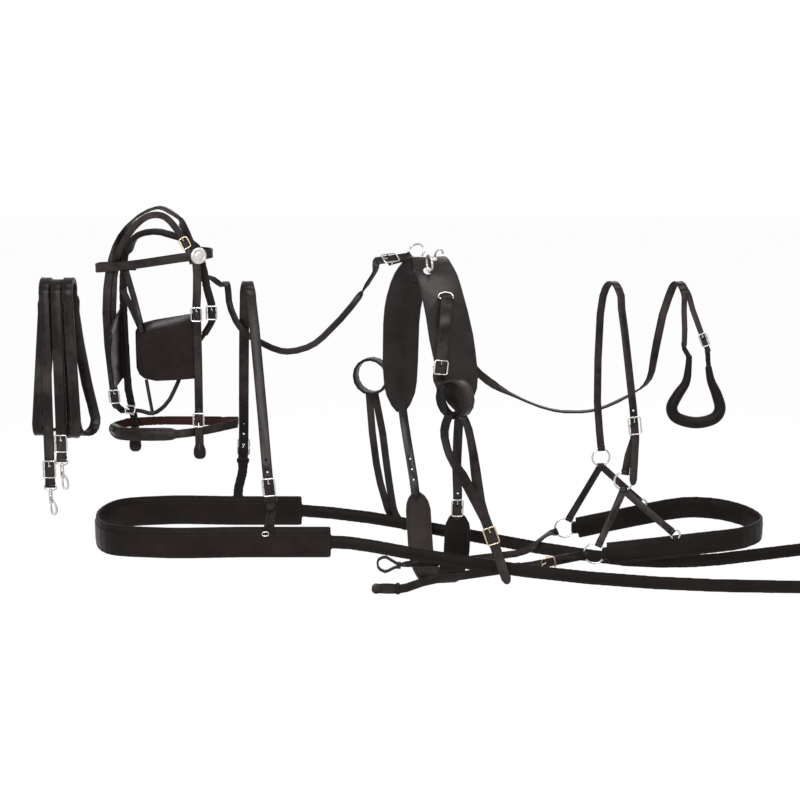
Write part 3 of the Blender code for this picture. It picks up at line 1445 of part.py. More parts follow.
def buckled_loop(
    name, held, wire, at, out, route, across, width, thick, tips, length=small_buckle_length, width_shares=None
):
    """A strap that goes through a buckle, round a ring or a terret, and back to the buckle's bar."""
    down_to, along = rim(*held, at)
    fall = down_to - at
    piece, frame, back, hole = buckle(name + "_buckle", at, fall, out, width, thick, length, thick)
    keep(piece, bright_steel)
    side = frame.to_3x3() @ right
    if along.dot(side) < 0:
        along = -along
    entry = list(reversed(through(at, fall, length * 0.75)))
    entry_across = [along] + [side] * len(entry)
    strap = ribbon(name, [down_to] + entry + route, entry_across + across, width, thick, (False, tips), width_shares)
    bar = frame @ Vector((0, 0, -back))
    chape = ribbon(
        name + "_chape",
        [down_to, bar.lerp(down_to, 0.55), bar + fall.normalized() * length / 3, bar],
        [along, side, side, side],
        width,
        thick,
    )
    chape = with_bar_eye(chape, frame, back, thick, width)
    return with_ring_eye(cut(join(strap, chape), hole), held, at, width, thick, wire)


# Holdbacks: the near one is buckled round its ring, the off one is sewn, and each ends in a loop
holdback_near_at = Vector((holdback_buckle_x, -holdback_buckle_y, -holdback_buckle_drop))
near_loop_at = Vector((-holdback_near_end_x, -holdback_near_end_y, -holdback_near_drop))
holdback_near_shares = ((0.25, 0.0, 0.02, -0.008), (0.46, -0.003, 0.019, -0.007), (0.72, 0.003, 0.009, -0.002))
near_route = drape(holdback_near_at, near_loop_at, holdback_near_shares)
near_loop_depth = near_side * strap_thick
loop_back = right * holdback_loop_length
near_route += [
    near_loop_at + loop_back * 1.1,
    near_loop_at + loop_back * 0.35 + near_loop_depth * 0.8,
    near_loop_at + near_loop_depth * -0.6,
    near_loop_at + loop_back * 0.35 - near_loop_depth * 2.2,
    near_loop_at + loop_back * 0.9 - near_loop_depth * 1.0,
]
near_holdback = buckled_loop(
    "holdback_near", seat_near_ring, ring_wire, holdback_near_at, near_side, near_route,
    [up] * len(near_route), holdback_width, strap_thick, False,
)
near_keeper = Matrix.Translation(near_loop_at + loop_back * 0.95)
keeper_low = Vector((-keeper_width / 2, -strap_thick * 1.2, -holdback_width / 2 - keeper_thick))
keeper_high = Vector((keeper_width / 2, strap_thick * 2.4, holdback_width / 2 + keeper_thick))
keep(join(near_holdback, block("near_loop_keeper", near_keeper, keeper_low, keeper_high)), black_leather)

far_loop_at = Vector((-holdback_far_end_x, -holdback_far_end_y, -holdback_far_drop))
far_rim, far_rim_along = rim(*seat_far_ring, seat_far_centre + left + down * hang_share)
holdback_far_shares = (
    (0, 0, 0, 0), (0.05, 0.005, -0.051, 0.012), (0.11, 0.021, -0.087, 0.011), (0.2, 0.044, -0.112, -0.019),
    (0.46, 0.041, -0.105, -0.025), (0.62, 0.026, -0.078, -0.026), (0.83, 0.01, -0.035, -0.016),
)
far_route = drape(far_rim, far_loop_at, holdback_far_shares)
teardrop_shares = ((1.0, 0, 0), (0.75, 0, 0.13), (0.35, 0, 0.36), (0.05, 0, 0.22), (0.05, 0, -0.14), (0.35, 0, -0.34), (0.75, 0, -0.16), (1.0, 0, -0.09))
far_route += [
    far_loop_at + Vector((holdback_loop_length * x, 0, holdback_loop_length * z)) for x, _, z in teardrop_shares
]
far_across = [far_rim_along, far_side, far_side, (far_side + up).normalized(), up, up, (far_side + up).normalized()]
if far_rim_along.dot(far_side + up) < 0:
    far_across[0] = -far_rim_along
far_across += [far_side] * len(teardrop_shares)
far_holdback = ribbon("holdback_off", far_route, far_across, holdback_width * 0.8, strap_thick)
with_ring_eye(far_holdback, seat_far_ring, seat_far_centre + left + down * hang_share, holdback_width * 0.8)
far_keeper = Matrix.Translation(far_loop_at + loop_back + down * strap_thick * 0.7)
far_half = holdback_width * 0.4 + keeper_thick
far_keeper_block = block(
    "far_loop_keeper",
    far_keeper,
    Vector((-keeper_width / 2, -far_half, -strap_thick * 1.6)),
    Vector((keeper_width / 2, far_half, strap_thick * 1.9)),
)
keep(join(far_holdback, far_keeper_block), black_leather)


# Bridle: the crown strap with a buckle on each side
front_left = (left + far_side).normalized()
front_right = (right + far_side).normalized()
off_crown_at = Vector((-off_buckle_x, -off_buckle_y, -off_buckle_drop))
near_crown_at = Vector((-near_buckle_x, -near_buckle_y, -near_buckle_drop))
rear_at = Vector((-rear_buckle_x, -rear_buckle_y, -near_buckle_drop - lap))
crown_strap_shares = (
    (0.29, -0.238, 0.049, 0.248), (0.52, -0.398, 0.087, 0.415), (0.71, -0.498, 0.135, 0.529),
    (0.93, -0.566, 0.225, 0.629), (1, -0.468, 0.335, 0.748), (1, -0.329, 0.368, 0.797),
    (1, -0.198, 0.286, 0.752), (1, -0.092, 0.100, 0.676), (1, -0.018, 0.008, 0.54),
    (1, 0.01, -0.012, 0.417), (1, 0.014, -0.008, 0.225),
)
off_fall = Vector((0.08, 0, -1))
half_buckle = small_buckle_length / 2
crown_points = [off_crown_at + off_fall * (half_buckle + tail_length)]
crown_points += list(reversed(through(off_crown_at, off_fall, half_buckle)))
crown_points += drape(off_crown_at, near_crown_at, crown_strap_shares)
crown_points += through(near_crown_at, down, half_buckle)
crown_points.append(near_crown_at + down * (half_buckle + tail_length))
crown_across = [right] * 8 + [front_right, far_side, far_side, far_side, front_left, front_left, left, left] + [left] * 5
crown_strap = ribbon("crown_strap", crown_points, crown_across, head_strap_width, strap_thick, (True, True))

# The crown is split: a second strap is sewn behind the first and fans out to one side of it
split_start = 4
split_shares = (0.25, 0.56, 0.69, 0.53, 0.62, 0.75, 0.75, 0.62, 0.2)
split_points = []
for i, share in enumerate(split_shares, split_start):
    behind = (crown_points[i + 1] - crown_points[i - 1]).cross(crown_across[i]).normalized()
    aside = crown_across[i] * head_strap_width * share
    split_points.append(crown_points[i] + aside + behind * strap_thick * 0.6)
split_points[0] = split_points[0].lerp(split_points[1], 0.12)
split_across = crown_across[split_start : split_start + len(split_shares)]
split = ribbon("crown_split", split_points, split_across, head_strap_width, strap_thick, (True, True))
off_piece, off_frame, off_back, off_hole = buckle(
    "crown_buckle_off", off_crown_at, off_fall, near_side, head_strap_width, strap_thick, small_buckle_length
)
near_piece, near_crown_frame, near_crown_back, near_crown_hole = buckle(
    "crown_buckle_near", near_crown_at, down, near_side, head_strap_width, strap_thick, small_buckle_length
)
rear_piece, rear_frame, rear_back, rear_hole = buckle(
    "throat_buckle_near", rear_at, down, near_side, head_strap_width, strap_thick, small_buckle_length
)
for piece in (off_piece, near_piece, rear_piece):
    keep(piece, bright_steel)
keep(cut(join(crown_strap, split), off_hole, near_crown_hole), black_leather)

# The headpiece: a padded arc over the poll that runs down on the off side as the cheek, to its bit loop
bit_at = Vector((-bit_loop_x, -bit_loop_y, -bit_loop_drop))
headpiece_shares = (
    (0.19, -0.141, 0.01, 0.1), (0.41, -0.277, 0.031, 0.203), (0.64, -0.409, 0.053, 0.298),
    (0.82, -0.502, 0.055, 0.364), (0.98, -0.569, 0.068, 0.417), (1, -0.503, 0.042, 0.514),
    (1, -0.369, 0.021, 0.549), (1, -0.229, 0.021, 0.514), (1, -0.127, 0.014, 0.461),
    (1, -0.07, 0.004, 0.373), (1, -0.032, 0, 0.183),
)
bit_loop_shares = ((0, -1, 0.05), (0, -1.05, 0.45), (0, -0.8, 0.85), (0, 0, 1.0), (0, 0.8, 0.85), (0, 1.0, 0.45))


def bit_loop(at, bottom):
    """Points of a strap's fold, from its front run's tip down and back up behind."""
    depth = at.z - bottom
    return [at + Vector((0, bit_loop_radius * y, -depth * z)) for _, y, z in bit_loop_shares]


head_points = bit_loop(bit_at, -bit_loop_drop - bit_loop_depth) + [bit_at + far_side * bit_loop_radius]
head_points += drape(bit_at, rear_at, headpiece_shares) + through(rear_at, down, half_buckle)
head_points.append(rear_at + down * (half_buckle + tail_length))
head_across = [right] * 11 + [front_right, far_side, far_side, far_side, front_left, left, left, left]
head_across += [left] * (len(head_points) - len(head_across))
headpiece = ribbon("headpiece", head_points, head_across, head_strap_width, strap_thick, (True, True))
pad_points, pad_across = head_points[11:17], head_across[11:17]
pad = ribbon("crown_pad", pad_points, pad_across, pad_width, pad_thick, (True, True))
sewn_half = Vector((head_strap_width / 2 + keeper_thick, bit_loop_radius + strap_thick, keeper_width / 2))
sewn = block("bit_loop_keeper", Matrix.Translation(bit_at + down * keeper_width * 1.6), -sewn_half, sewn_half)
keep(join(cut(headpiece, rear_hole), pad, sewn), padded_leather)


# Browband: a band on edge, with a loop round the cheek straps at each end, and its rosette
brow_off = Vector((-browband_off_x, -browband_off_y, browband_low))
brow_near = Vector((-browband_near_x, -browband_near_y, browband_high))
browband_shares = (
    (0.3, 0.028, 0.122, -0.04), (0.11, 0.021, 0.097, -0.015), (0.01, 0.007, 0.036, -0.001),
    (0.02, -0.011, -0.048, -0.003), (0.23, -0.019, -0.087, -0.009), (0.46, -0.021, -0.118, -0.005),
    (0.73, -0.028, -0.100, 0.002), (0.92, -0.02, -0.0745, 0.002), (1, 0, -0.002, 0),
    (0.97, 0.021, 0.105, 0.004), (0.9, 0.021, 0.155, 0.013), (0.78, 0.018, 0.150, 0.029),
)
brow_points = drape(brow_off, brow_near, browband_shares)
keep(ribbon("browband", brow_points, up, browband_width, strap_thick), black_leather)
rosette_out = Vector((0.52, -0.85, 0)).normalized()
rosette_profile_shares = ((0, 1.15), (0.30, 1.1), (0.42, 0.80), (0.80, 0.95), (1.0, 0.5), (1.0, 0.0), (0.0, 0.0))
rosette_at = brow_points[7] + rosette_out * (strap_thick / 2 + lap)
rosette = turned(
    "rosette_near",
    [(rosette_radius * r, rosette_depth * z) for r, z in rosette_profile_shares],
    rosette_at,
    rosette_out,
    ring_steps,
)
brow_skin = ribbon("brow_skin", brow_points, up, browband_width * 1.4, strap_thick + 2 * fit)
keep(cut(rosette, brow_skin), silver_plate)


# Blinkers: stiff leather shells, cupped outwards, with rounded free corners
free_edge_shares = (
    (0.0, 0.19, 0.80), (0.04, 0.11, 0.91), (0.12, 0.05, 0.98), (0.3, 0.0, 1.02),
    (0.6, -0.05, 1.01), (0.85, -0.09, 0.99), (1.0, -0.11, 0.98),
)
rise_steps = 6


def blinker(name, origin, reach, fall, cup_out):
    """A shell from its free edge to its cheek edge, bowed outwards in the middle."""
    shell = bmesh.new()
    rows = []
    for along, top, low in free_edge_shares:
        row = []
        for k in range(rise_steps + 1):
            rise = top + (low - top) * k / rise_steps
            bow = math.sin(math.pi * (1 - along) * 0.6) * math.sin(math.pi * (0.15 + 0.7 * k / rise_steps))
            row.append(shell.verts.new(origin + reach * along + fall * rise + cup_out * bow))
        rows.append(row)
    for one, two in zip(rows, rows[1:]):
        for k in range(rise_steps):
            shell.faces.new((one[k], one[k + 1], two[k + 1], two[k]))
    obj = of_bmesh(name, shell)
    wall = obj.modifiers.new("thickness", "SOLIDIFY")
    wall.thickness = blinker_thick
    wall.offset = 0
    wall.use_even_offset = True
    return obj


free_at = Vector((-blinker_free_x, -blinker_y, -blinker_drop))
reach = right * (blinker_free_x - blinker_cheek_x)
keep(blinker("blinker_near", free_at, reach, down * blinker_height, near_side * blinker_cup), patent_leather)
off_free_at = Vector((-off_blinker_x, -off_blinker_y - off_blinker_reach, -off_blinker_drop))
off_reach = far_side * off_blinker_reach
keep(
    blinker("blinker_off", off_free_at, off_reach, down * off_blinker_height, left * blinker_cup * 0.5),
    patent_leather,
)

# Winker stay: two narrow straps that meet at the near blinker's upper corner
stay_end = free_at + right * stay_width * 1.2 + down * blinker_height * 0.2 + near_side * (blinker_thick + strap_thick) * 1.85
stay_top = Vector((-off_buckle_x + head_strap_width * 2, -off_buckle_y - lap * 4, browband_low - lap * 10))
stay_low = stay_top + left * head_strap_width * 0.5 + down * stay_width * 3
stays = [
    ribbon(name, drape(start, stay_end, ((0, 0, 0, 0), (0.5, 0.02, -0.05, 0), (1, 0, 0, 0))), turn, stay_width, chape_thick)
    for name, start, turn in (
        ("winker_stay", stay_top, Vector((1, 0, 0.35)).normalized()),
        ("stay_low", stay_low, Vector((0.8, 0, 0.6)).normalized()),
    )
]
keep(join(*stays), black_leather)


# Near cheek: from the crown buckle's bar down to its own buckle, which closes the bit loop
cheek_at = Vector((-near_buckle_x, -cheek_buckle_y, -cheek_buckle_drop))
cheek_piece, cheek_frame, cheek_back, cheek_hole = buckle(
    "cheek_buckle_near", cheek_at, up, near_side, head_strap_width, strap_thick, small_buckle_length, strap_thick
)
keep(cheek_piece, bright_steel)
cheek_bar = cheek_frame @ Vector((0, 0, -cheek_back))
crown_bar = near_crown_frame @ Vector((0, 0, -near_crown_back))
cheek_shares = ((0, 0, 0, 0), (0.22, 0, 0.01, 0.002), (0.48, 0, 0.019, -0.005), (0.75, 0, 0.008, -0.002), (1, 0, 0, 0))
cheek_points = drape(crown_bar, cheek_bar, cheek_shares)
fold_shares = ((0, 0.0), (0.0, 0.5), (0.12, 0.86), (0.5, 1.0), (0.88, 0.86), (1.0, 0.5))
fold_depth = cheek_at.y - cheek_bar.y
fold_drop = cheek_loop_drop - cheek_buckle_drop
cheek_points += [cheek_bar + Vector((0, fold_depth * y, -fold_drop * z)) for y, z in fold_shares[1:]]
cheek_points += through(cheek_at, up, half_buckle)
cheek_points.append(cheek_at + up * (half_buckle + tail_length))
cheek = ribbon("cheek_near", cheek_points, right, head_strap_width, strap_thick, (False, True))
with_bar_eye(cheek, near_crown_frame, near_crown_back, chape_thick, head_strap_width)
keep(cut(with_bar_eye(cheek, cheek_frame, cheek_back, strap_thick, head_strap_width), cheek_hole), black_leather)


# Throatlash: a rolled strap from the off buckle's bar to the rear buckle's, with a short arm up to the blinker
throat_at = Vector((-throat_x, -throat_y, -throat_drop))
off_bar = off_frame @ Vector((0, 0, -off_back))
rear_bar = rear_frame @ Vector((0, 0, -rear_back))
throatlash_shares = (
    (0, 0, 0, 0), (0.08, 0.027, -0.059, -0.034), (0.15, 0.06, -0.104, -0.076),
    (0.2, 0.112, -0.105, -0.13), (0.3, 0.132, -0.09, -0.144), (0.48, 0.099, -0.05, -0.112),
    (0.67, 0.048, -0.01, -0.05), (0.87, 0.028, 0.011, -0.025),
)
rear_stub = rear_bar + down * round_radius * 3
throat_points = drape(throat_at, rear_stub, throatlash_shares) + [rear_stub]
throatlash = tube("throatlash", throat_points, round_radius, steps=3)
off_tab = ribbon(
    "throat_tab_off",
    [off_bar, off_bar + down * half_buckle, throat_at + up * round_radius, throat_points[1]],
    right, head_strap_width * 0.8, chape_thick, error=rein_flat_error,
)
rear_tab = ribbon(
    "throat_tab_rear", [rear_bar, rear_stub, throat_points[-2]], right, head_strap_width * 0.8, chape_thick,
    error=rein_flat_error,
)
arm_top = throat_points[3] + up * blinker_height * 0.583 + left * round_radius * 2 + near_side * round_radius * 1.4
arm = tube("throat_arm", [throat_points[3], throat_points[3].lerp(arm_top, 0.5), arm_top], round_radius * 0.8)
with_bar_eye(off_tab, off_frame, off_back, chape_thick, head_strap_width * 0.8)
with_bar_eye(rear_tab, rear_frame, rear_back, chape_thick, head_strap_width * 0.8)
keep(join(throatlash, off_tab, rear_tab, arm), black_leather)


# Noseband: a strap that is hairpin in plan, stuffed to a roll over the nose
nose_left = Vector((-noseband_left_x, -noseband_y, -noseband_drop - lap))
nose_right = Vector((-noseband_right_x, 0, -noseband_drop))
noseband_shares = (
    (1, 0, 0.048, 0), (0.75, -0.016, 0.09, 0.002), (0.32, -0.036, 0.161, 0.005),
    (0.11, -0.031, 0.139, 0.003), (0, 0, 0, 0), (0.06, 0.042, -0.197, 0),
    (0.26, 0.062, -0.301, 0.006), (0.5, 0.06, -0.315, 0), (0.68, 0.048, -0.253, -0.001),
    (0.99, 0.01, -0.046, 0),
)
nose_points = drape(nose_left, nose_right, noseband_shares)
noseband = ribbon("noseband", nose_points, up, noseband_width, strap_thick)
roll = ribbon("nose_roll", nose_points[4:8], up, roll_width, roll_thick, (True, True))
keep(join(noseband, roll), padded_leather)


# Bearing rein: from the bridle over the rail, along behind it, and buckled round the off terret
bearing_at = Vector((-bearing_buckle_x, 0, bearing_buckle_height))
bearing_start = Vector((-bearing_start_x, -bearing_start_y, bearing_start_height))
bearing_over = over_rail(-bearing_rail_x - lap * 8, -bearing_rail_x, 0, 4, bearing_thick)[2:]
bearing_shares = (
    (0, 0.021, 0, -0.115), (0.04, 0.052, -0.009, -0.226), (0.13, 0.073, 0.021, -0.324),
    (0.24, 0.093, 0.052, -0.402), (0.39, 0.098, 0.074, -0.41), (0.58, 0.076, 0.087, -0.317),
    (0.75, 0.05, 0.08, -0.189), (0.83, 0.033, 0.073, -0.115), (0.89, 0.016, 0.053, -0.061),
)
bearing_hang = drape(bearing_over[-1], bearing_at, bearing_shares[1:])
bearing_route = list(reversed(bearing_hang)) + list(reversed(bearing_over))
bearing_route += [bearing_start.lerp(bearing_over[0], 0.55) + up * bearing_thick * 2, bearing_start]
bearing_across = [front_right, front_right, up, up, up, up, (up + right).normalized(), right]
bearing_across += [right] * (len(bearing_route) - len(bearing_across))
narrow_share = bearing_width / bearing_end_width
bearing_width_shares = ((0, 1), (0.125, 1), (0.15, narrow_share), (1, narrow_share))
bearing = buckled_loop(
    "bearing_rein", far_terret, terret_wire, bearing_at, near_side + up, bearing_route, bearing_across,
    bearing_end_width, bearing_thick, True, buckle_length, bearing_width_shares,
)
keep(bearing, black_leather)
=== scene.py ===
# %% [markdown]
# # A driving harness, hung up to show
#
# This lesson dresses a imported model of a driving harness: reins, a blinkered bridle, a breast collar with
# its traces, a saddle with girth and tugs, a crupper and the breeching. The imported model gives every
# strap and ring its true place and size. Here each one gets the form and the finish of the real thing:
# rounded and burnished edges, rows of stitches, round wire buckles and soft black leather.

import math

import bpy
from mathutils import Matrix, Vector
from mathutils.bvhtree import BVHTree
from mathutils.kdtree import KDTree


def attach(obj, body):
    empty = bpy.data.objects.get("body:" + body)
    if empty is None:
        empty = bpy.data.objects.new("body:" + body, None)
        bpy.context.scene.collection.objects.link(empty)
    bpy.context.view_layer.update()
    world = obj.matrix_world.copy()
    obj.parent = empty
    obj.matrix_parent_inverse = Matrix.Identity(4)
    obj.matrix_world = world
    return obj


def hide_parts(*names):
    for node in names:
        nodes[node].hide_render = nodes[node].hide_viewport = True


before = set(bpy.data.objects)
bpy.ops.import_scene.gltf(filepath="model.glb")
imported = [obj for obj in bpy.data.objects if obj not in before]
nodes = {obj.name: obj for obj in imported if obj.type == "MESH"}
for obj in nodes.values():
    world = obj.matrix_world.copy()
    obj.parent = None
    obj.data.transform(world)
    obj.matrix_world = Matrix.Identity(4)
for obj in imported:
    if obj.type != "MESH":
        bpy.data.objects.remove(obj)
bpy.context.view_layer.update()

# %% [markdown]
# ## Camera
#
# The set is seen square on from the near side, from a little above. A long lens keeps the straps
# parallel, as a product photographer would.

# %% Camera
camera_lift = math.radians(12)
camera_distance = 3.2
camera_lens, camera_sensor = 72, 36
camera_target = Vector((-0.06, 0, -0.2168))
camera_back = Vector((0, -math.cos(camera_lift), math.sin(camera_lift)))
bpy.ops.object.select_all(action="DESELECT")
bpy.ops.object.camera_add(location=camera_target + camera_back * camera_distance)
camera = bpy.context.object
camera.name = "view_camera"
camera.rotation_euler = (-camera_back).to_track_quat("-Z", "Y").to_euler()
camera.data.lens = camera_lens
camera.data.sensor_width = camera_sensor
bpy.context.scene.camera = camera
print("camera at", tuple(round(v, 3) for v in camera.location))

# %% [markdown]
# ## Shader maths as Python
#
# A node tree reads like wiring, but most of what it says is sums. This small class wraps one socket, so
# that `grain * 0.3 + wear` adds the Math nodes by itself, and any other node comes from one method.


# %% A socket that does sums
class Socket:
    """One output of a node, with the usual sums."""

    def __init__(self, kit, link):
        self.kit, self.link = kit, link

    def sum_of(self, operation, one, two):
        return self.kit.node("ShaderNodeMath", {"operation": operation}, [one, two])

    def __add__(self, other):
        return self.sum_of("ADD", self, other)

    def __sub__(self, other):
        return self.sum_of("SUBTRACT", self, other)

    def __rsub__(self, other):
        return self.sum_of("SUBTRACT", other, self)

    def __mul__(self, other):
        return self.sum_of("MULTIPLY", self, other)

    def clipped(self):
        return self.kit.node("ShaderNodeMath", {"operation": "ADD", "use_clamp": True}, [self, 0.0])


print("a socket adds, subtracts and multiplies")


# %% A kit of nodes
class Kit:
    """The nodes of one material, or of the world."""

    def __init__(self, name, library=bpy.data.materials):
        self.owner = library.new(name)
        self.owner.use_nodes = True
        self.tree = self.owner.node_tree
        self.shader = self.tree.nodes.get("Principled BSDF")
        self.output = next(made for made in self.tree.nodes if made.bl_idname.startswith("ShaderNodeOutput"))

    def feed(self, socket, value):
        if isinstance(value, Socket):
            self.tree.links.new(value.link, socket)
        else:
            socket.default_value = value

    def node(self, kind, settings, values, output=0):
        """Any node: its settings first, then its sockets by name or in order."""
        made = self.tree.nodes.new(kind)
        for key, value in settings.items():
            setattr(made, key, value)
        pairs = values.items() if isinstance(values, dict) else enumerate(values)
        for key, value in pairs:
            self.feed(made.inputs[key], value)
        return Socket(self, made.outputs[output])

    def place(self):
        return self.node("ShaderNodeTexCoord", {}, {}, "Object")

    def seen(self):
        """1 where the camera sees it, itself or in metal and glass, and 0 for light that falls on things."""
        kinds = ("Is Camera Ray", "Is Glossy Ray", "Is Transmission Ray")
        direct, glossy, through = (self.node("ShaderNodeLightPath", {}, {}, kind) for kind in kinds)
        return (direct + glossy + through).clipped()

    def surface(self, share, one, two):
        """Two shaders by a share from 0 to 1, on the output."""
        blend = self.node("ShaderNodeMixShader", {}, {0: share, 1: one, 2: two})
        self.feed(self.output.inputs["Surface"], blend)

    def noise(self, scale, detail=3.0, rough=0.5):
        values = {"Vector": self.place(), "Scale": scale, "Detail": detail, "Roughness": rough}
        return self.node("ShaderNodeTexNoise", {}, values, "Fac")

    def cells(self, scale):
        return self.node("ShaderNodeTexVoronoi", {}, {"Vector": self.place(), "Scale": scale}, "Distance")

    def mix(self, share, one, two):
        """A colour between two, by a share from 0 to 1."""
        return self.node("ShaderNodeMix", {"data_type": "RGBA"}, {0: share, 6: one, 7: two}, 2)

    def bump(self, height, strength, distance):
        values = {"Height": height, "Strength": strength, "Distance": distance}
        return self.node("ShaderNodeBump", {}, values, "Normal")

    def finish(self, colour, roughness, normal=None, **plain):
        """Feeds the shader. Plain values are the same all over, and sit on the shader's own sockets."""
        for key, value in (("Base Color", colour), ("Roughness", roughness), ("Normal", normal)):
            if value is not None:
                self.feed(self.shader.inputs[key], value)
        for key, value in plain.items():
            self.shader.inputs[key.replace("_", " ")].default_value = value
        return self.owner


print("one method makes every other node")

# %% [markdown]
# ## Leather
#
# Bridle leather is dyed black and waxed. Close up it has fine pebbles and creases, and where it bends or
# rubs it is a little paler. Small cells give the pebbles, a fast noise the pores and a slow one the wear.
# Each leather has a dark and a worn tone, the roughness of both, the scale and the depth of its grain, and
# how much it mirrors. The girth's leather also turns to a paler tone on its far pad, which is painted light.


# %% Black leather
wear_scale, wear_start, wear_gain = 11, 0.42, 2.4
blotch_scale, blotch_gain = 60, 0.6
pore_ratio, crease_ratio = 1.7, 9
cell_height, pore_height, crease_height = 0.45, 0.35, 0.5
pore_gloss = 0.12
side_gain, lit_side_worn_gain = 60, 1.5
grain_strength = 0.5


def leather(name, dark, worn, smooth, rough, grain_scale, grain_depth, specular, lit_far_side=None):
    """A waxed leather: two tones, two gloss levels, and a grain of fine cells under slow creases.

    lit_far_side is the letter of an axis, a place on it and a paler tone for the part past that place:
    painted light on the side that catches more light.
    """
    kit = Kit(name)
    wear = kit.noise(wear_scale, 4, 0.6)
    blotch = kit.noise(blotch_scale, 3, 0.6)
    share = ((wear - wear_start) * wear_gain + (blotch - 0.5) * blotch_gain).clipped()
    pores = kit.noise(grain_scale * pore_ratio, 2, 0.6)
    creases = kit.noise(grain_scale / crease_ratio, 5, 0.65)
    height = kit.cells(grain_scale) * cell_height + pores * pore_height + creases * crease_height
    gloss = share * (rough - smooth) + smooth + (pores - 0.5) * pore_gloss
    colour = kit.mix(share, (*dark, 1), (*worn, 1))
    # Painted light: past a place on one axis, the colour turns to a paler tone.
    if lit_far_side:
        axis, line, beyond = lit_far_side
        along = kit.node("ShaderNodeSeparateXYZ", {}, {"Vector": kit.place()}, axis)
        paler = kit.mix(share, (*beyond, 1), (*(lit_side_worn_gain * tone for tone in beyond), 1))
        colour = kit.mix(((along - line) * side_gain + 0.5).clipped(), colour, paler)
    grain = kit.bump(height, grain_strength, grain_depth)
    return kit.finish(colour, gloss, grain, Specular_IOR_Level=specular)


black_leather = leather(
    "black_bridle_leather", (0.0108, 0.0074, 0.0068), (0.0680, 0.0545, 0.0515), 0.24, 0.42, 900, 0.00035, 0.14
)
padded_leather = leather(
    "soft_black_leather", (0.0088, 0.0060, 0.0053), (0.0180, 0.0135, 0.0122), 0.42, 0.56, 700, 0.0004, 0.1
)
saddle_leather = leather(
    "saddle_leather", (0.0105, 0.0074, 0.0066), (0.0300, 0.0236, 0.0216), 0.28, 0.42, 800, 0.00035, 0.22
)
patent_leather = leather(
    "patent_leather", (0.0080, 0.0042, 0.0040), (0.0220, 0.0135, 0.0125), 0.2, 0.3, 500, 0.0001, 0.14
)
# The burnished edge is dyed dark, and its tones are set darker still as painted shade on the rounded edges.
burnished_shaded_edge_leather = leather(
    "burnished_and_shaded_edge", (0.0050, 0.0035, 0.0032), (0.0120, 0.0090, 0.0082), 0.30, 0.42, 1500, 0.0002, 0.1
)
lining_leather = leather(
    "red_brown_lining", (0.0300, 0.0088, 0.0062), (0.0560, 0.0180, 0.0130), 0.48, 0.60, 700, 0.0004, 0.1
)
fold_leather = leather(
    "collar_fold_leather", (0.0098, 0.0062, 0.0054), (0.0205, 0.0142, 0.0126), 0.38, 0.50, 700, 0.0004, 0.12
)
# The girth's far pad, past Y = 0, is painted paler: painted light on the pad that catches more light.
worn_and_lit_girth_leather = leather(
    "girth_leather", (0.0072, 0.0050, 0.0045), (0.0160, 0.0120, 0.0108), 0.46, 0.58, 620, 0.0005, 0.1,
    ("Y", 0.0, (0.0400, 0.0320, 0.0290)),
)
print("materials so far", len(bpy.data.materials))

# %% [markdown]
# ## Thread
#
# Saddlers sew with waxed linen. Black thread on black leather is seen by its slight shine and by the
# small shadow between two stitches, so its tones stay close to the strap's.

# %% Thread
twist_scale, thread_smooth, thread_gain, thread_specular = 2600, 0.46, 0.2, 0.2
thread_dark, thread_pale = (0.014, 0.0125, 0.012, 1), (0.040, 0.036, 0.034, 1)
thread_kit = Kit("waxed_thread")
twist = thread_kit.noise(twist_scale, 2, 0.5)
thread_tone = thread_kit.mix(twist, thread_dark, thread_pale)
waxed_thread = thread_kit.finish(
    thread_tone, twist * thread_gain + thread_smooth, Specular_IOR_Level=thread_specular
)
print("thread", waxed_thread.name)

# %% [markdown]
# ## Metal
#
# The fittings are polished steel with small rubbed patches. Three buckles are a warm, pale gold, and the
# rosette is plated.


# %% Steel, warm metal and plate
rub_scale, rub_start, rub_gain = 70, 0.4, 2.2
polish_scale, polish_strength, polish_depth = 900, 0.12, 0.0001


def metal(name, bright, dull, smooth, rough):
    """A polished metal: rubbed patches a little duller, under a very fine grain."""
    kit = Kit(name)
    rub = kit.noise(rub_scale, 4, 0.6)
    fine = kit.noise(polish_scale, 2, 0.5)
    colour = kit.mix(((rub - rub_start) * rub_gain).clipped(), (*bright, 1), (*dull, 1))
    polish = kit.bump(fine, polish_strength, polish_depth)
    return kit.finish(colour, rub * (rough - smooth) + smooth, polish, Metallic=1.0)


polished_steel = metal("polished_steel", (0.62, 0.61, 0.59), (0.36, 0.355, 0.345), 0.12, 0.28)
warm_metal = metal("warm_metal", (0.62, 0.53, 0.37), (0.38, 0.30, 0.19), 0.18, 0.32)
plated_metal = metal("plated_metal", (0.74, 0.73, 0.71), (0.48, 0.475, 0.46), 0.18, 0.34)
print("materials", len(bpy.data.materials))

# %% [markdown]
# ## Small tools
#
# An operator works on what is selected, in the mode that the scene is in, so the same few steps come back
# for every piece. Each has a short name here. To dress a piece is to give it its finishes, the body that
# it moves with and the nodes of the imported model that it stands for.


# %% Select, edit and settle
def deselect():
    """Clears the selection."""
    bpy.ops.object.select_all(action="DESELECT")


def take(piece):
    """Makes a piece the only one selected."""
    deselect()
    piece.select_set(True)
    bpy.context.view_layer.objects.active = piece


def named(name):
    """Names the piece that was just made, and its mesh."""
    piece = bpy.context.object
    piece.name = piece.data.name = name
    return piece


def edit(action=None, kind=None):
    """Goes into edit mode, to work on a kind of element, and may select all of them or none."""
    bpy.ops.object.mode_set(mode="EDIT")
    if kind:
        bpy.ops.mesh.select_mode(type=kind)
    if action:
        bpy.ops.mesh.select_all(action=action)


def leave():
    """Goes back to object mode."""
    bpy.ops.object.mode_set(mode="OBJECT")


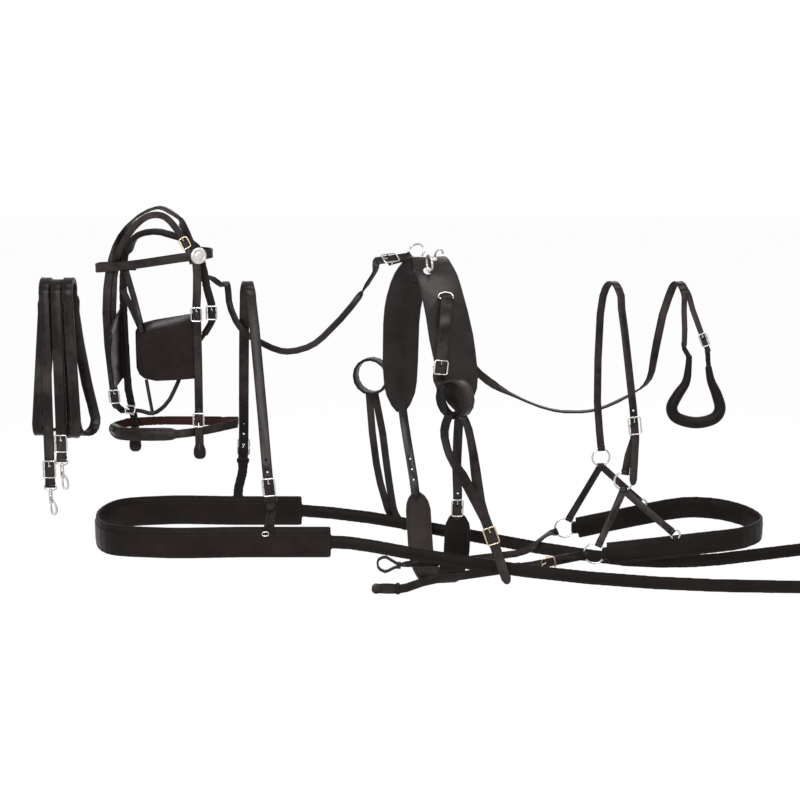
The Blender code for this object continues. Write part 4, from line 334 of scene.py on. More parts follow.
def settle():
    """Puts the place, turn and size of what is selected into its mesh."""
    bpy.ops.object.transform_apply(location=True, rotation=True, scale=True)


def smooth_under(degrees):
    """Shades smooth, but for edges that turn more than this."""
    bpy.ops.object.shade_smooth_by_angle(angle=math.radians(degrees))


def modify(piece, name, kind, **settings):
    """Adds a modifier with its settings."""
    change = piece.modifiers.new(name, kind)
    for key, value in settings.items():
        setattr(change, key, value)


def apply_all(piece):
    """Applies a piece's modifiers in order."""
    take(piece)
    for change in list(piece.modifiers):
        bpy.ops.object.modifier_apply(modifier=change.name)


print("mode", bpy.context.mode)


# %% Dress a piece
def coat(piece, *finishes):
    """Gives a piece its materials, in order."""
    piece.data.materials.clear()
    for finish in finishes:
        piece.data.materials.append(finish)


def dress(piece, node_names, body, slot_name, *finishes):
    """Gives a piece its materials, the body that it moves with and the nodes that it stands for."""
    coat(piece, *finishes)
    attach(piece, body)
    if node_names:
        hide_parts(*node_names)


print("pieces are dressed in", len(bpy.data.materials), "materials")

# %% [markdown]
# ## The edges of a strap
#
# A strap's long edges are where its look comes from: they are rounded, dyed and rubbed, and the stitches
# run beside them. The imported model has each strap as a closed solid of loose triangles. A copy is merged,
# its flat faces are joined up again, and its sharp edges are then followed from end to end as seams.

# %% Copy and merge a node
merge_gap = 0.00002
flat_turn = math.radians(1.2)


def merged_copy(node_name, name):
    """A copy of a node's mesh with its loose triangles merged and its flat faces joined."""
    piece = bpy.data.objects.new(name, nodes[node_name].data.copy())
    piece.data.name = name
    bpy.context.scene.collection.objects.link(piece)
    take(piece)
    edit("SELECT")
    bpy.ops.mesh.remove_doubles(threshold=merge_gap)
    bpy.ops.mesh.dissolve_degenerate(threshold=merge_gap)
    bpy.ops.mesh.dissolve_limited(angle_limit=flat_turn)
    leave()
    return piece


print("points nearer than", merge_gap * 1000, "mm are merged")

# %% Follow the sharp edges
seam_turn = math.cos(math.radians(50))
seam_bend = math.cos(math.radians(42))
same_side = 0.6
shortest_seam = 0.06


def seams_of(piece, inset):
    """The long sharp edges of a piece, as rows of points set in from the edge, with their normals."""
    mesh = piece.data
    faces_of = {}
    for face in mesh.polygons:
        for key in face.edge_keys:
            faces_of.setdefault(key, []).append(face)
    sharp, ways = {}, {}
    for key, faces in faces_of.items():
        if len(faces) == 2 and faces[0].normal.dot(faces[1].normal) < seam_turn:
            inside = [way_in(mesh, face, *key) for face in faces]
            broad = int(inside[1][1] > inside[0][1])
            if inside[broad][1] > 2 * inset:
                sharp[key], ways[key] = faces[broad], inside[broad][0]
    at_vertex = {}
    for key in sharp:
        for vertex in key:
            at_vertex.setdefault(vertex, []).append(key)
    rows, used = [], set()
    for start in sorted(sharp):
        if start in used:
            continue
        chain = [start[0], start[1]]
        used.add(start)
        for _ in range(2):
            while True:
                last, before = chain[-1], chain[-2]
                heading = (mesh.vertices[last].co - mesh.vertices[before].co).normalized()
                side = sharp_of(sharp, before, last).normal
                best, best_dot = None, seam_bend
                for key in at_vertex[last]:
                    if key in used:
                        continue
                    other = key[0] if key[1] == last else key[1]
                    step = (mesh.vertices[other].co - mesh.vertices[last].co).normalized()
                    if step.dot(heading) > best_dot and sharp[key].normal.dot(side) > same_side:
                        best, best_dot = (key, other), step.dot(heading)
                if best is None:
                    break
                used.add(best[0])
                chain.append(best[1])
            chain.reverse()
        row = []
        for one, two in zip(chain, chain[1:]):
            face = sharp_of(sharp, one, two)
            a, b = mesh.vertices[one].co, mesh.vertices[two].co
            into = sharp_of(ways, one, two) * inset
            row.append((a + into, b + into, face.normal.copy(), (b - a).normalized()))
        if sum((b - a).length for a, b, _, _ in row) > shortest_seam:
            rows.append(row)
    return rows


def way_in(mesh, face, one, two):
    """The way into a face from one of its edges, and how far the face reaches that way."""
    corners = list(face.vertices)
    if corners[(corners.index(one) + 1) % len(corners)] != two:
        one, two = two, one
    a, b = mesh.vertices[one].co, mesh.vertices[two].co
    along = (b - a).normalized()
    inward = face.normal.cross(along)
    middle = (a + b) / 2
    flat = [mesh.vertices[corner].co - middle for corner in corners]
    flat = [(offset.dot(along), offset.dot(inward)) for offset in flat]
    reach = 1.0
    for (x0, y0), (x1, y1) in zip(flat, flat[1:] + flat[:1]):
        if (x0 < 0) != (x1 < 0):
            far = y0 + (y1 - y0) * x0 / (x0 - x1)
            if far > merge_gap:
                reach = min(reach, far)
    return inward, reach


def sharp_of(sharp, one, two):
    """What is kept for the edge between two points, whichever comes first."""
    return sharp[(one, two) if one < two else (two, one)]


print("seams shorter than", shortest_seam * 1000, "mm are left unsewn")

# %% [markdown]
# ## Stitches
#
# One stitch is a short grain of thread with pointed ends. It is modelled once, from a small cube whose
# ends are drawn in, and copied along each seam at the spacing that a saddler would prick with a wheel.

# %% One stitch
stitch_length = 0.0029
stitch_width = 0.0008
body_share, end_share = 0.55, 0.22
height_share, point_share = 0.6, 0.35

deselect()
bpy.ops.mesh.primitive_cube_add(
    size=1, scale=(stitch_length * body_share, stitch_width, stitch_width * height_share)
)
stitch = bpy.context.object
settle()
edit()
for end in (-1, 1):
    bpy.ops.mesh.select_all(action="DESELECT")
    leave()
    for face in stitch.data.polygons:
        face.select = face.normal.x * end > 0.9
    edit()
    reach = end * stitch_length * end_share
    bpy.ops.mesh.extrude_region_move(TRANSFORM_OT_translate={"value": (reach, 0, 0)})
    bpy.ops.transform.resize(value=(1, point_share, point_share))
leave()
stitch_points = [v.co.copy() for v in stitch.data.vertices]
stitch_faces = [tuple(face.vertices) for face in stitch.data.polygons]
bpy.data.objects.remove(stitch)
print("stitch", len(stitch_points), "points")

# %% A row of stitches
stitch_pitch = 0.0037
stitch_lift = 0.00012


def sew(name, rows, body, slot_name):
    """Sews along each row, and makes one piece of all its stitches."""
    points, faces = [], []
    for row in rows:
        spare = stitch_pitch / 2
        for a, b, normal, along in row:
            reach = (b - a).length
            across = normal.cross(along)
            while spare < reach:
                middle = a + along * spare + normal * stitch_lift
                first = len(points)
                for p in stitch_points:
                    points.append(middle + along * p.x + across * p.y + normal * p.z)
                faces += [tuple(first + i for i in face) for face in stitch_faces]
                spare += stitch_pitch
            spare -= reach
    if not points:
        return
    mesh = bpy.data.meshes.new(name)
    mesh.from_pydata(points, [], faces)
    piece = bpy.data.objects.new(name, mesh)
    bpy.context.scene.collection.objects.link(piece)
    dress(piece, [], body, slot_name, waxed_thread)


print("one stitch every", stitch_pitch * 1000, "mm")

# %% [markdown]
# ## Straps
#
# The straps keep the imported model's form, holes and all. A bevel on the sharp edges makes the rounded
# edge that catches the light, and its faces take the burnished finish, whose tone is that of a dyed edge
# set darker still as painted shade.

# %% Round a piece's edges
edge_round = 0.0009
sharp_turn = math.radians(38)
edge_settings = {"limit_method": "ANGLE", "angle_limit": sharp_turn, "segments": 2, "material": 1}
smooth_turn = 35
throw_share, throw_rings = 0.6, 6


def bevelled(piece):
    """Rounds a piece's sharp edges with the second material, and puts back any point that it threw off."""
    corners = [vertex.co.copy() for vertex in piece.data.vertices]
    before = BVHTree.FromPolygons(corners, [face.vertices for face in piece.data.polygons])
    modify(piece, "burnished_edges", "BEVEL", width=edge_round, use_clamp_overlap=False, **edge_settings)
    apply_all(piece)
    spots = piece.data.vertices
    far = edge_round * throw_share
    thrown = {vertex.index for vertex in spots if before.find_nearest(vertex.co)[3] > far}
    for _ in range(throw_rings):
        for edge in piece.data.edges:
            for one, two in (edge.vertices, reversed(edge.vertices)):
                if one in thrown and two not in thrown:
                    spots[one].co = spots[two].co
                    thrown.discard(one)
    edit("SELECT")
    bpy.ops.mesh.remove_doubles(threshold=merge_gap)
    leave()
    smooth_under(smooth_turn)


print("edges are rounded by", edge_round * 1000, "mm")

# %% Bevel the straps and sew them
seam_inset = 0.0026
strap_names = (
    "rein_near", "rein_off", "crown_strap", "browband", "winker_stay", "cheek_near", "throatlash",
    "bearing_rein", "neck_strap", "saddle", "tug_strap_near", "shaft_tug_near", "shaft_tug_off", "bellyband",
    "backstrap", "hip_strap", "hip_chape_near", "hanger_near", "hanger_off", "holdback_near", "holdback_off",
    "blinker_near", "blinker_off",
)
other_finishes = {"saddle": saddle_leather, "blinker_near": patent_leather, "blinker_off": patent_leather}

for node_name in strap_names:
    strap_finish = other_finishes.get(node_name, black_leather)
    strap = merged_copy(node_name, node_name + "_leather")
    coat(strap, strap_finish, burnished_shaded_edge_leather)
    for face in strap.data.polygons:
        face.material_index = 0
    rows = seams_of(strap, seam_inset)
    bevelled(strap)
    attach(strap, "harness")
    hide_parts(node_name)
    sew(node_name + "_stitches", rows, "harness", "black_leather")
    print(node_name, "faces", len(strap.data.polygons), "seams", len(rows))

# %% [markdown]
# ## Folded and filled leather
#
# The breast collar, the noseband, the headpiece, the girth pads, the seat and the crupper dock are folded
# round a filling, so they are crowned between their seams and drawn in where they are sewn. A copy of the
# solid is remeshed into even small faces and smoothed. Then each point moves out by a share of how far it
# is from the nearest seam, and in where the thread pulls it.

# %% Crown a padded piece
pad_grid = 0.0016
pad_rise = 0.0011
pad_pull = 0.0007
pad_reach = 0.009
pull_width = 0.0016
soften_share, soften_times = 0.5, 5
seam_step = 1.5


def crowned(piece, rows):
    """Remeshes a piece, smooths it and swells it between its seams."""
    modify(piece, "even_faces", "REMESH", mode="VOXEL", voxel_size=pad_grid, use_smooth_shade=True)
    modify(piece, "soft_edges", "SMOOTH", factor=soften_share, iterations=soften_times)
    apply_all(piece)
    spots = []
    for a, b, _, _ in (length for row in rows for length in row):
        steps = max(1, math.ceil((b - a).length / (pad_grid * seam_step)))
        spots += [a.lerp(b, step / steps) for step in range(steps)]
    if not spots:
        return
    tree = KDTree(len(spots))
    for index, spot in enumerate(spots):
        tree.insert(spot, index)
    tree.balance()
    moves = []
    for vertex in piece.data.vertices:
        away = tree.find(vertex.co)[2]
        share = min(1, max(0, (away - pull_width / 2) / pad_reach))
        crown = share * share * (3 - 2 * share)
        pull = math.exp(-((away / pull_width) ** 2))
        moves.append(vertex.normal * (pad_rise * crown - pad_pull * pull))
    for vertex, move in zip(piece.data.vertices, moves):
        vertex.co += move


print("pads rise", pad_rise * 1000, "mm between their seams")

# %% [markdown]
# ## Fold, lining and dock
#
# The collar's lower part has an outer fold, which is a copy of the pad, cut at two planes and swollen by
# the thickness of its leather. The noseband is lined with red-brown leather. The dock's pad stops where
# its stuffed roll begins. Each pad has its finish and how far its seams are set in.

# %% Pad, fold and sew
fold_top = -0.459
fold_rise = 0.0018
fold_end = (Vector((-0.199, -0.120, 0)), Vector((0.954, 0.298, 0)))
fold_smooth_turn = 50
dock_cut = -0.150
nose_middle = Vector((-0.510, -0.052, -0.262))
lining_turn = 0.35
pads = {
    "breast_collar": (padded_leather, 0.0042),
    "noseband": (black_leather, 0.0036),
    "headpiece": (padded_leather, 0.0030),
    "girth": (worn_and_lit_girth_leather, 0.0050),
    "seat": (padded_leather, 0.0042),
    "crupper_dock": (padded_leather, 0.0),
}


def cut_away(piece, at, normal):
    """Cuts a piece at a plane, drops what is beyond it and closes the cut."""
    take(piece)
    edit("SELECT")
    bpy.ops.mesh.bisect(plane_co=at, plane_no=normal, use_fill=True, clear_outer=True)
    leave()


def in_fold(spot):
    """Whether a place on the collar is under its outer fold."""
    return spot.z < fold_top and (spot - fold_end[0]).dot(fold_end[1]) < 0


for node_name, (pad_finish, inset) in pads.items():
    pad = merged_copy(node_name, node_name + "_pad")
    rows = seams_of(pad, inset) if inset else []
    crowned(pad, rows)
    if node_name == "breast_collar":
        fold = pad.copy()
        fold.data = pad.data.copy()
        fold.name = fold.data.name = "collar_fold"
        bpy.context.scene.collection.objects.link(fold)
        cut_away(fold, (0, 0, fold_top), (0, 0, 1))
        cut_away(fold, *fold_end)
        moves = [vertex.normal * fold_rise for vertex in fold.data.vertices]
        for vertex, move in zip(fold.data.vertices, moves):
            vertex.co += move
        smooth_under(fold_smooth_turn)
        dress(fold, [], "harness", "padded_leather", fold_leather)
        rows = [
            [(a + n * fold_rise * in_fold(a), b + n * fold_rise * in_fold(a), n, w) for a, b, n, w in row]
            for row in rows
        ]
    if node_name == "crupper_dock":
        cut_away(pad, (0, 0, dock_cut), (0, 0, -1))
    dress(pad, [node_name], "harness", "padded_leather", pad_finish, lining_leather)
    if node_name == "noseband":
        for face in pad.data.polygons:
            inward = nose_middle - face.center
            face.material_index = int(face.normal.dot(inward.normalized()) > lining_turn)
    sew(node_name + "_stitches", rows, "harness", "padded_leather")
    print(node_name, "faces", len(pad.data.polygons), "seams", len(rows))

# %% [markdown]
# ## Bent wire
#
# Buckles, hooks and snap eyes are bent from round wire. The wire's middle line is drawn by extruding one
# point after another, its corners are rounded by a bevel on the points, and it is then turned into a
# curve with a round section and back into a mesh.

# %% Bend a wire
wire_sides = 5
bend_steps = 5
same_point = 0.00001
start_size = 0.01
metal_smooth = 40


def bent_wire(name, points, radius, bend, closed=False):
    """A wire through points, with its corners bent round."""
    deselect()
    bpy.ops.mesh.primitive_plane_add(size=start_size, location=points[0])
    piece = named(name)
    edit(kind="VERT")
    bpy.ops.mesh.merge(type="CENTER")
    route = points + points[:1] if closed else points
    for before, after in zip(route, route[1:]):
        bpy.ops.mesh.extrude_region_move(TRANSFORM_OT_translate={"value": after - before})
    if closed:
        bpy.ops.mesh.select_all(action="SELECT")
        bpy.ops.mesh.remove_doubles(threshold=same_point)
        bpy.ops.mesh.bevel(offset=bend, segments=bend_steps, affect="VERTICES")
    elif len(points) > 2:
        bpy.ops.mesh.select_all(action="DESELECT")
        leave()
        for vertex in piece.data.vertices:
            spot = piece.matrix_world @ vertex.co
            vertex.select = min((spot - end).length for end in (points[0], points[-1])) > same_point
        edit()
        bpy.ops.mesh.bevel(offset=bend, segments=bend_steps, affect="VERTICES")
    bpy.ops.mesh.select_all(action="SELECT")
    bpy.ops.mesh.delete(type="ONLY_FACE")
    leave()
    bpy.ops.object.convert(target="CURVE")
    piece.data.bevel_depth = radius
    piece.data.bevel_resolution = wire_sides
    piece.data.use_fill_caps = True
    bpy.ops.object.convert(target="MESH")
    piece = bpy.context.object
    settle()
    return piece


def joined(name, pieces):
    """Several parts of one piece of metal as one object, at the origin."""
    deselect()
    for piece in pieces:
        piece.select_set(True)
    bpy.context.view_layer.objects.active = pieces[0]
    bpy.ops.object.join()
    piece = named(name)
    settle()
    smooth_under(metal_smooth)
    return piece


print("a bend has", bend_steps, "steps")

# %% [markdown]
# ## Rolls and laid straps
#
# The crupper dock is a stuffed roll, round in section and drawn in at both ends. A laid strap is a row of
# faces along a smooth line, turned to face one way, with its thickness and rounded edges put on after.

# %% Smooth lines and stuffed rolls
line_steps = 6
roll_sides = 8
roll_smooth = 60


def smooth_line(points):
    """A smooth line through points."""
    ends = [points[0] * 2 - points[1], *points, points[-1] * 2 - points[-2]]
    line = []
    for p, a, b, q in zip(ends, ends[1:], ends[2:], ends[3:]):
        for step in range(line_steps):
            t = step / line_steps
            bend = (a * 3 - p - b * 3 + q) * t + (p * 2 - a * 5 + b * 4 - q)
            line.append((bend * t + (b - p)) * t * 0.5 + a)
    return line + [points[-1]]


def stuffed_roll(name, points, radius, shares):
    """A round roll along a line, with a share of the radius at each point."""
    line = smooth_line(points)
    deselect()
    bpy.ops.curve.primitive_nurbs_path_add()
    piece = bpy.context.object
    spline = piece.data.splines[0]
    spline.points.add(len(line) - len(spline.points))
    for index, (spot, place) in enumerate(zip(spline.points, line)):
        spot.co = (*place, 1)
        back, share = divmod(index / line_steps, 1)
        ahead = min(int(back) + 1, len(shares) - 1)
        spot.radius = shares[int(back)] * (1 - share) + shares[ahead] * share
    spline.use_endpoint_u = True
    piece.data.bevel_depth = radius
    piece.data.bevel_resolution = roll_sides
    piece.data.use_fill_caps = True
    bpy.ops.object.convert(target="MESH")
    piece = named(name)
    settle()
    smooth_under(roll_smooth)
    return piece


print("a line has", line_steps, "steps between two points")

# %% The dock's roll
dock_y, dock_radius = -0.028, 0.0114
dock_points = [
    (0.5097, -0.121), (0.5092, -0.144), (0.5054, -0.175), (0.4905, -0.200), (0.4790, -0.226),
    (0.4900, -0.247), (0.5270, -0.257), (0.5625, -0.249), (0.5750, -0.229), (0.5673, -0.200),
    (0.5548, -0.172), (0.5486, -0.144),
]
dock_shares = (0.50, 0.58, 0.74, 0.92, 1.0, 1.02, 1.02, 1.02, 1.0, 0.92, 0.72, 0.56)
dock_line = [Vector((x, dock_y, z)) for x, z in dock_points]
dock_roll = stuffed_roll("dock_roll", dock_line, dock_radius, dock_shares)
dress(dock_roll, [], "harness", "padded_leather", padded_leather)
print("dock", len(dock_roll.data.polygons))

# %% [markdown]
# ## Rounded ends
#
# Each cheekpiece ends in a folded loop for the bit, which is fuller than the strap: a short stuffed roll,
# flattened front to back. The near holdback strap ends in a rounded fold, which is a bevelled drum.

# %% Loops for the bit, and the holdback's fold
bit_loops = {"bit_loop_near": (-0.4515, -0.0915, -0.3145), "bit_loop_off": (-0.5880, -0.0260, -0.3155)}
loop_heights = (0.033, 0.027, 0.018, 0.009, 0.003, 0.0)
loop_shares = (0.55, 0.72, 0.98, 1.0, 0.82, 0.5)
loop_radius, loop_depth_share = 0.0122, 0.62
for name, (x, y, z) in bit_loops.items():
    loop = stuffed_roll(name, [Vector((x, y, z + rise)) for rise in loop_heights], loop_radius, loop_shares)
    for vertex in loop.data.vertices:
        vertex.co.y = y + (vertex.co.y - y) * loop_depth_share
    dress(loop, [], "harness", "black_leather", black_leather)

drum_at, drum_turn = (-0.1065, -0.1483, -0.5620), (math.pi / 2, 0, 0)
drum_radius, drum_width, drum_sides = 0.0091, 0.0125, 48
deselect()
bpy.ops.mesh.primitive_cylinder_add(
    vertices=drum_sides, radius=drum_radius, depth=drum_width, location=drum_at, rotation=drum_turn
)
holdback_end = named("holdback_fold")
settle()
coat(holdback_end, black_leather, burnished_shaded_edge_leather)
bevelled(holdback_end)
dress(holdback_end, [], "harness", "black_leather", black_leather, burnished_shaded_edge_leather)
print("rounded ends", len(bit_loops) + 1)

# %% A strap laid along a line
fork_width, fork_thick = 0.013, 0.0026
fork_out = (0, -1, 0.25)
fork_points = [
    (-0.6148, -0.045, 0.048), (-0.6060, -0.048, 0.080), (-0.5850, -0.050, 0.117), (-0.5610, -0.052, 0.144),
    (-0.5366, -0.055, 0.157), (-0.5099, -0.060, 0.154), (-0.4858, -0.070, 0.130), (-0.4675, -0.080, 0.100),
    (-0.4549, -0.088, 0.068),
]
laid_round_share = 0.35


def laid_strap(name, points, out, width, thick):
    """A flat strap along a line, facing one way."""
    line = smooth_line([Vector(point) for point in points])
    deselect()
    bpy.ops.mesh.primitive_grid_add(x_subdivisions=1, y_subdivisions=len(line) - 1)
    piece = named(name)
    for index, place in enumerate(line):
        ahead, behind = line[min(index + 1, len(line) - 1)], line[max(index - 1, 0)]
        across = (ahead - behind).cross(Vector(out)).normalized() * (width / 2)
        piece.data.vertices[index * 2].co = place - across
        piece.data.vertices[index * 2 + 1].co = place + across
    modify(piece, "thickness", "SOLIDIFY", thickness=thick, offset=0)
    modify(piece, "round_edges", "BEVEL", width=thick * laid_round_share, **edge_settings)
    apply_all(piece)
    smooth_under(smooth_turn)
    return piece


crown_fork = laid_strap("crown_fork", fork_points, fork_out, fork_width, fork_thick)
dress(crown_fork, [], "harness", "black_leather", black_leather, burnished_shaded_edge_leather)
print("crown fork", len(crown_fork.data.polygons))

# %% [markdown]
# ## Buckles
#
# A harness buckle is a rectangle of wire with rounded corners, a bar across its middle that the strap's
# fold is sewn round, and a tongue that swings on the bar, comes through the hole and lands on the frame.
# Each row has the name, the middle of the bar, the way the strap runs down, the way that it faces, and
# four sizes: the strap's width and thickness, the frame's length and the chape's thickness, which is 0
# where the bar bears on the strap itself.

# %% The places of the buckles
wire_radius = 0.0015
tongue_radius = 0.0011
air = 0.0004
buckle_corner = 0.004
down, front = (0, 0, -1), (0, -1, 0)
rein_sizes, neck_sizes = (0.020, 0.003, 0.034, 0), (0.020, 0.003, 0.034, 0.0025)
bridle_sizes = (0.016, 0.003, 0.026, 0.0025)
buckle_rows = [
    ("rein_buckle_near", (-0.761, -0.0282, -0.352), down, front, rein_sizes),
    ("rein_buckle_off", (-0.7365, -0.0246, -0.300), down, front, rein_sizes),
    ("neck_buckle_near", (-0.316, -0.108, -0.368), (0.097, -0.082, -0.992), (-0.008, -0.997, 0.082),
     neck_sizes),
    ("neck_buckle_off", (-0.384, 0.090, -0.336), (-0.047, 0.072, -0.996), (0.003, 0.997, 0.072),
     neck_sizes),
    ("girth_buckle", (0.053, -0.090, -0.4144), (-0.020, 0.069, -0.997), (-0.001, -0.998, -0.069),
     (0.018, 0.003, 0.034, 0.0025)),
    ("tug_buckle", (0.017, -0.150, -0.122), (-0.104, -0.158, -0.982), (0.258, -0.958, 0.126),
     (0.022, 0.003, 0.026, 0.003)),
    ("bellyband_buckle", (0.116, -0.162, -0.450), (0.328, 0, -0.945), front,
     (0.020, 0.003, 0.034, 0.003)),
    ("crupper_buckle", (0.537, -0.0304, -0.089), (0.393, 0, -0.920), front, (0.011, 0.003, 0.026, 0.003)),
    ("hip_buckle_near", (0.401, -0.066, -0.254), (0.105, -0.076, -0.992), (-0.008, -0.997, 0.075),
     neck_sizes),
    ("holdback_near_buckle", (0.234, -0.095, -0.526), (0.979, 0.069, 0.193), (0.068, -0.998, 0.013),
     (0.018, 0.003, 0.026, 0.003)),
    ("crown_buckle_off", (-0.6225, -0.045, -0.200), (0.08, 0, -0.997), front, bridle_sizes),
    ("crown_buckle_near", (-0.4515, -0.086, -0.030), down, front, bridle_sizes),
    ("throat_buckle_near", (-0.425, -0.062, -0.0306), down, front, bridle_sizes),
    ("cheek_buckle_near", (-0.4515, -0.0945, -0.236), (0, 0, 1), front, (0.016, 0.003, 0.026, 0.003)),
    ("bearing_rein_buckle", (-0.080, 0, 0.066), (0.838, 0.544, 0.047), (0.315, -0.551, 0.773),
     (0.018, 0.0025, 0.034, 0.0025)),
    ("crown_end_buckle", (-0.4705, -0.0782, 0.1055), (0.52, -0.28, -0.81), (0, -1, 0.25),
     (0.013, 0.0028, 0.022, 0)),
    ("throat_end_buckle", (-0.586, -0.0585, -0.2250), (0.82, -0.57, 0.03), (-0.5, -0.75, 0.42),
     (0.011, 0.0075, 0.024, 0)),
]
warm_buckles = ("bellyband_buckle", "holdback_near_buckle", "crown_end_buckle")
print("buckle rows", len(buckle_rows))

# %% Bend a buckle
frame_corners = [(-1, -1), (1, -1), (1, 1), (-1, 1)]
bar_bend, tongue_bend = 0.001, 0.0008
tongue_lean_share, hole_share = 1 / 3, 0.17


def strap_frame(at, run, out):
    """Across, along and out of a strap, as a matrix at a place."""
    run = run.normalized()
    out = (out - run * out.dot(run)).normalized()
    return Matrix.Translation(at) @ Matrix((run.cross(out), run, out)).transposed().to_4x4()


def placed(square, points):
    """Points given across, along and out of a strap, put in their place."""
    return [square @ Vector(point) for point in points]


def wire_buckle(name, at, run, out, width, thick, length, chape):
    """A frame, its bar and its tongue, set square to the strap."""
    square = strap_frame(Vector(at), Vector(run), Vector(out))
    high = thick / 2 + wire_radius + air
    low = -(thick / 2 + air + (wire_radius + air + chape if chape else wire_radius))
    half_width = width / 2 + air + wire_radius
    half_length = length / 2
    ring_points = [(x * half_width, y * half_length, high) for x, y in frame_corners]
    ring = bent_wire(name, placed(square, ring_points), wire_radius, buckle_corner, closed=True)
    bar_points = [(x * half_width, 0, z) for x, z in ((-1, high), (-1, low), (1, low), (1, high))]
    bar = bent_wire(name + "_bar", placed(square, bar_points), wire_radius, bar_bend)
    lean = thick * tongue_lean_share
    hole = -length * hole_share
    tongue_points = [
        (0, 0, low),
        (0, hole + 2 * lean, low + tongue_radius),
        (0, hole + lean, -thick / 2 - tongue_radius),
        (0, hole - lean, thick / 2 + tongue_radius),
        (0, -half_length - wire_radius, high + wire_radius + tongue_radius / 2),
    ]
    tongue = bent_wire(name + "_tongue", placed(square, tongue_points), tongue_radius, tongue_bend)
    return joined(name + "_wire", [ring, bar, tongue])


def fit_metal(piece, node_names, body="harness", metal_finish=polished_steel):
    """Dresses a bright metal piece."""
    dress(piece, node_names, body, "bright_steel", metal_finish)


# %% Fit the buckles, and the small keeper on the collar
for name, at, run, out, sizes in buckle_rows:
    metal_finish = warm_metal if name in warm_buckles else polished_steel
    stands_for = [name] if name in nodes else []
    fit_metal(wire_buckle(name, at, run, out, *sizes), stands_for, metal_finish=metal_finish)
keeper_at = Vector((-0.3225, -0.1320, -0.4560))
keeper_wide, keeper_tall, keeper_radius, keeper_bend = 0.006, 0.004, 0.0011, 0.003
keeper_frame = strap_frame(keeper_at, Vector(down), Vector(front))
keeper_points = placed(keeper_frame, [(x * keeper_wide, y * keeper_tall, 0) for x, y in frame_corners])
keeper = bent_wire("collar_keeper", keeper_points, keeper_radius, keeper_bend, closed=True)
fit_metal(joined("collar_keeper_wire", [keeper]), [])
print("buckles", len(buckle_rows))

# %% [markdown]
# ## Rings and terrets
#
# Breeching rings and dees are closed by a weld, which leaves a small bead in the wire. The terrets are
# larger rings on a turned foot, and the hook between them takes the bearing rein. Each row has the ring,
# the body that it moves with, its centre, its axis, its radius and its wire.

# %% Rings with a weld
ring_wire = 0.0019
ring_rows = [
    ("hip_ring_near", "hip_ring_near", (0.383, -0.062, -0.368), (0.148, 0.989, 0), 0.018, ring_wire),
    ("hip_ring_off", "hip_ring_off", (0.354, 0.070, -0.352), (-0.1, 0.995, 0), 0.018, ring_wire),
    ("seat_ring_near", "seat_ring_near", (0.325, -0.092, -0.508), (0.1, 0.995, 0), 0.0205, ring_wire),
    ("seat_ring_off", "seat_ring_off", (0.284, 0.086, -0.508), (-0.1, 0.995, 0), 0.0205, ring_wire),
    ("seat_dee_near", "seat_dee_near", (0.4819, -0.1049, -0.4648), (0, 1, 0), 0.009, ring_wire),
    ("seat_dee_off", "seat_dee_off", (0.4444, 0.0859, -0.4549), (0, 1, 0), 0.009, ring_wire),
    ("terret_off", "harness", (-0.0277, 0.0255, 0.0782), (0.397, 0.755, -0.522), 0.0165, 0.0022),
    ("terret_near", "harness", (-0.003, -0.0523, 0.0636), (0.95, 0.308, 0.059), 0.0165, 0.0022),
]
ring_steps, ring_sides = 72, 16
weld_rise, weld_share = 0.00022, 0.6


def standing(axis):
    """The turn that stands Z up along an axis."""
    return Vector(axis).normalized().to_track_quat("Z", "Y")


def welded_ring(name, centre, axis, radius, wire):
    """A ring of round wire with the bead of its weld."""
    deselect()
    bpy.ops.mesh.primitive_torus_add(
        major_radius=radius, minor_radius=wire, major_segments=ring_steps, minor_segments=ring_sides
    )
    ring = named(name + "_wire")
    edit("DESELECT")
    leave()
    for vertex in ring.data.vertices:
        vertex.select = vertex.co.x > 0 and abs(vertex.co.y) < wire * weld_share
    edit(kind="VERT")
    bpy.ops.transform.shrink_fatten(value=weld_rise)
    leave()
    ring.rotation_euler = standing(axis).to_euler()
    ring.location = centre
    settle()
    bpy.ops.object.shade_smooth()
    return ring


rings = {}
for name, body, centre, axis, radius, wire in ring_rows:
    rings[name] = welded_ring(name, centre, axis, radius, wire)
    fit_metal(rings[name], [name], body)
print("rings", len(rings))

# %% [markdown]
# ## Turned pieces
#
# Feet, barrels and the rosette are turned. Half of the outline is drawn point by point and spun about
# its axis, then the seam of the spin is merged.

# %% Spin an outline
turn_steps = 40


def turned(name, outline, centre, axis, steps=turn_steps):
    """A turned piece from radius and height pairs, from one end of the axis to the other."""
    deselect()
    bpy.ops.mesh.primitive_plane_add(size=start_size)
    piece = named(name)
    edit(kind="VERT")
    bpy.ops.mesh.merge(type="CENTER")
    first = Vector((outline[0][0], 0, outline[0][1]))
    bpy.ops.transform.translate(value=first)
    for (r0, z0), (r1, z1) in zip(outline, outline[1:]):
        bpy.ops.mesh.extrude_region_move(TRANSFORM_OT_translate={"value": (r1 - r0, 0, z1 - z0)})
    bpy.ops.mesh.select_all(action="SELECT")
    bpy.ops.mesh.spin(steps=steps, angle=math.tau, center=(0, 0, 0), axis=(0, 0, 1))
    bpy.ops.mesh.select_all(action="SELECT")
    bpy.ops.mesh.remove_doubles(threshold=same_point)
    bpy.ops.mesh.normals_make_consistent(inside=False)
    leave()
    piece.rotation_euler = standing(axis).to_euler()
    piece.location = centre
    settle()
    smooth_under(metal_smooth)
    return piece


print("a turned piece has", turn_steps, "steps")

# %% [markdown]
# ## Terret feet, the hook and its foot
#
# A terret screws into the saddle tree through a turned foot with a flange. The hook stands between the
# two terrets on a small domed foot, and its tip is drawn back so that the bearing rein can't jump off.

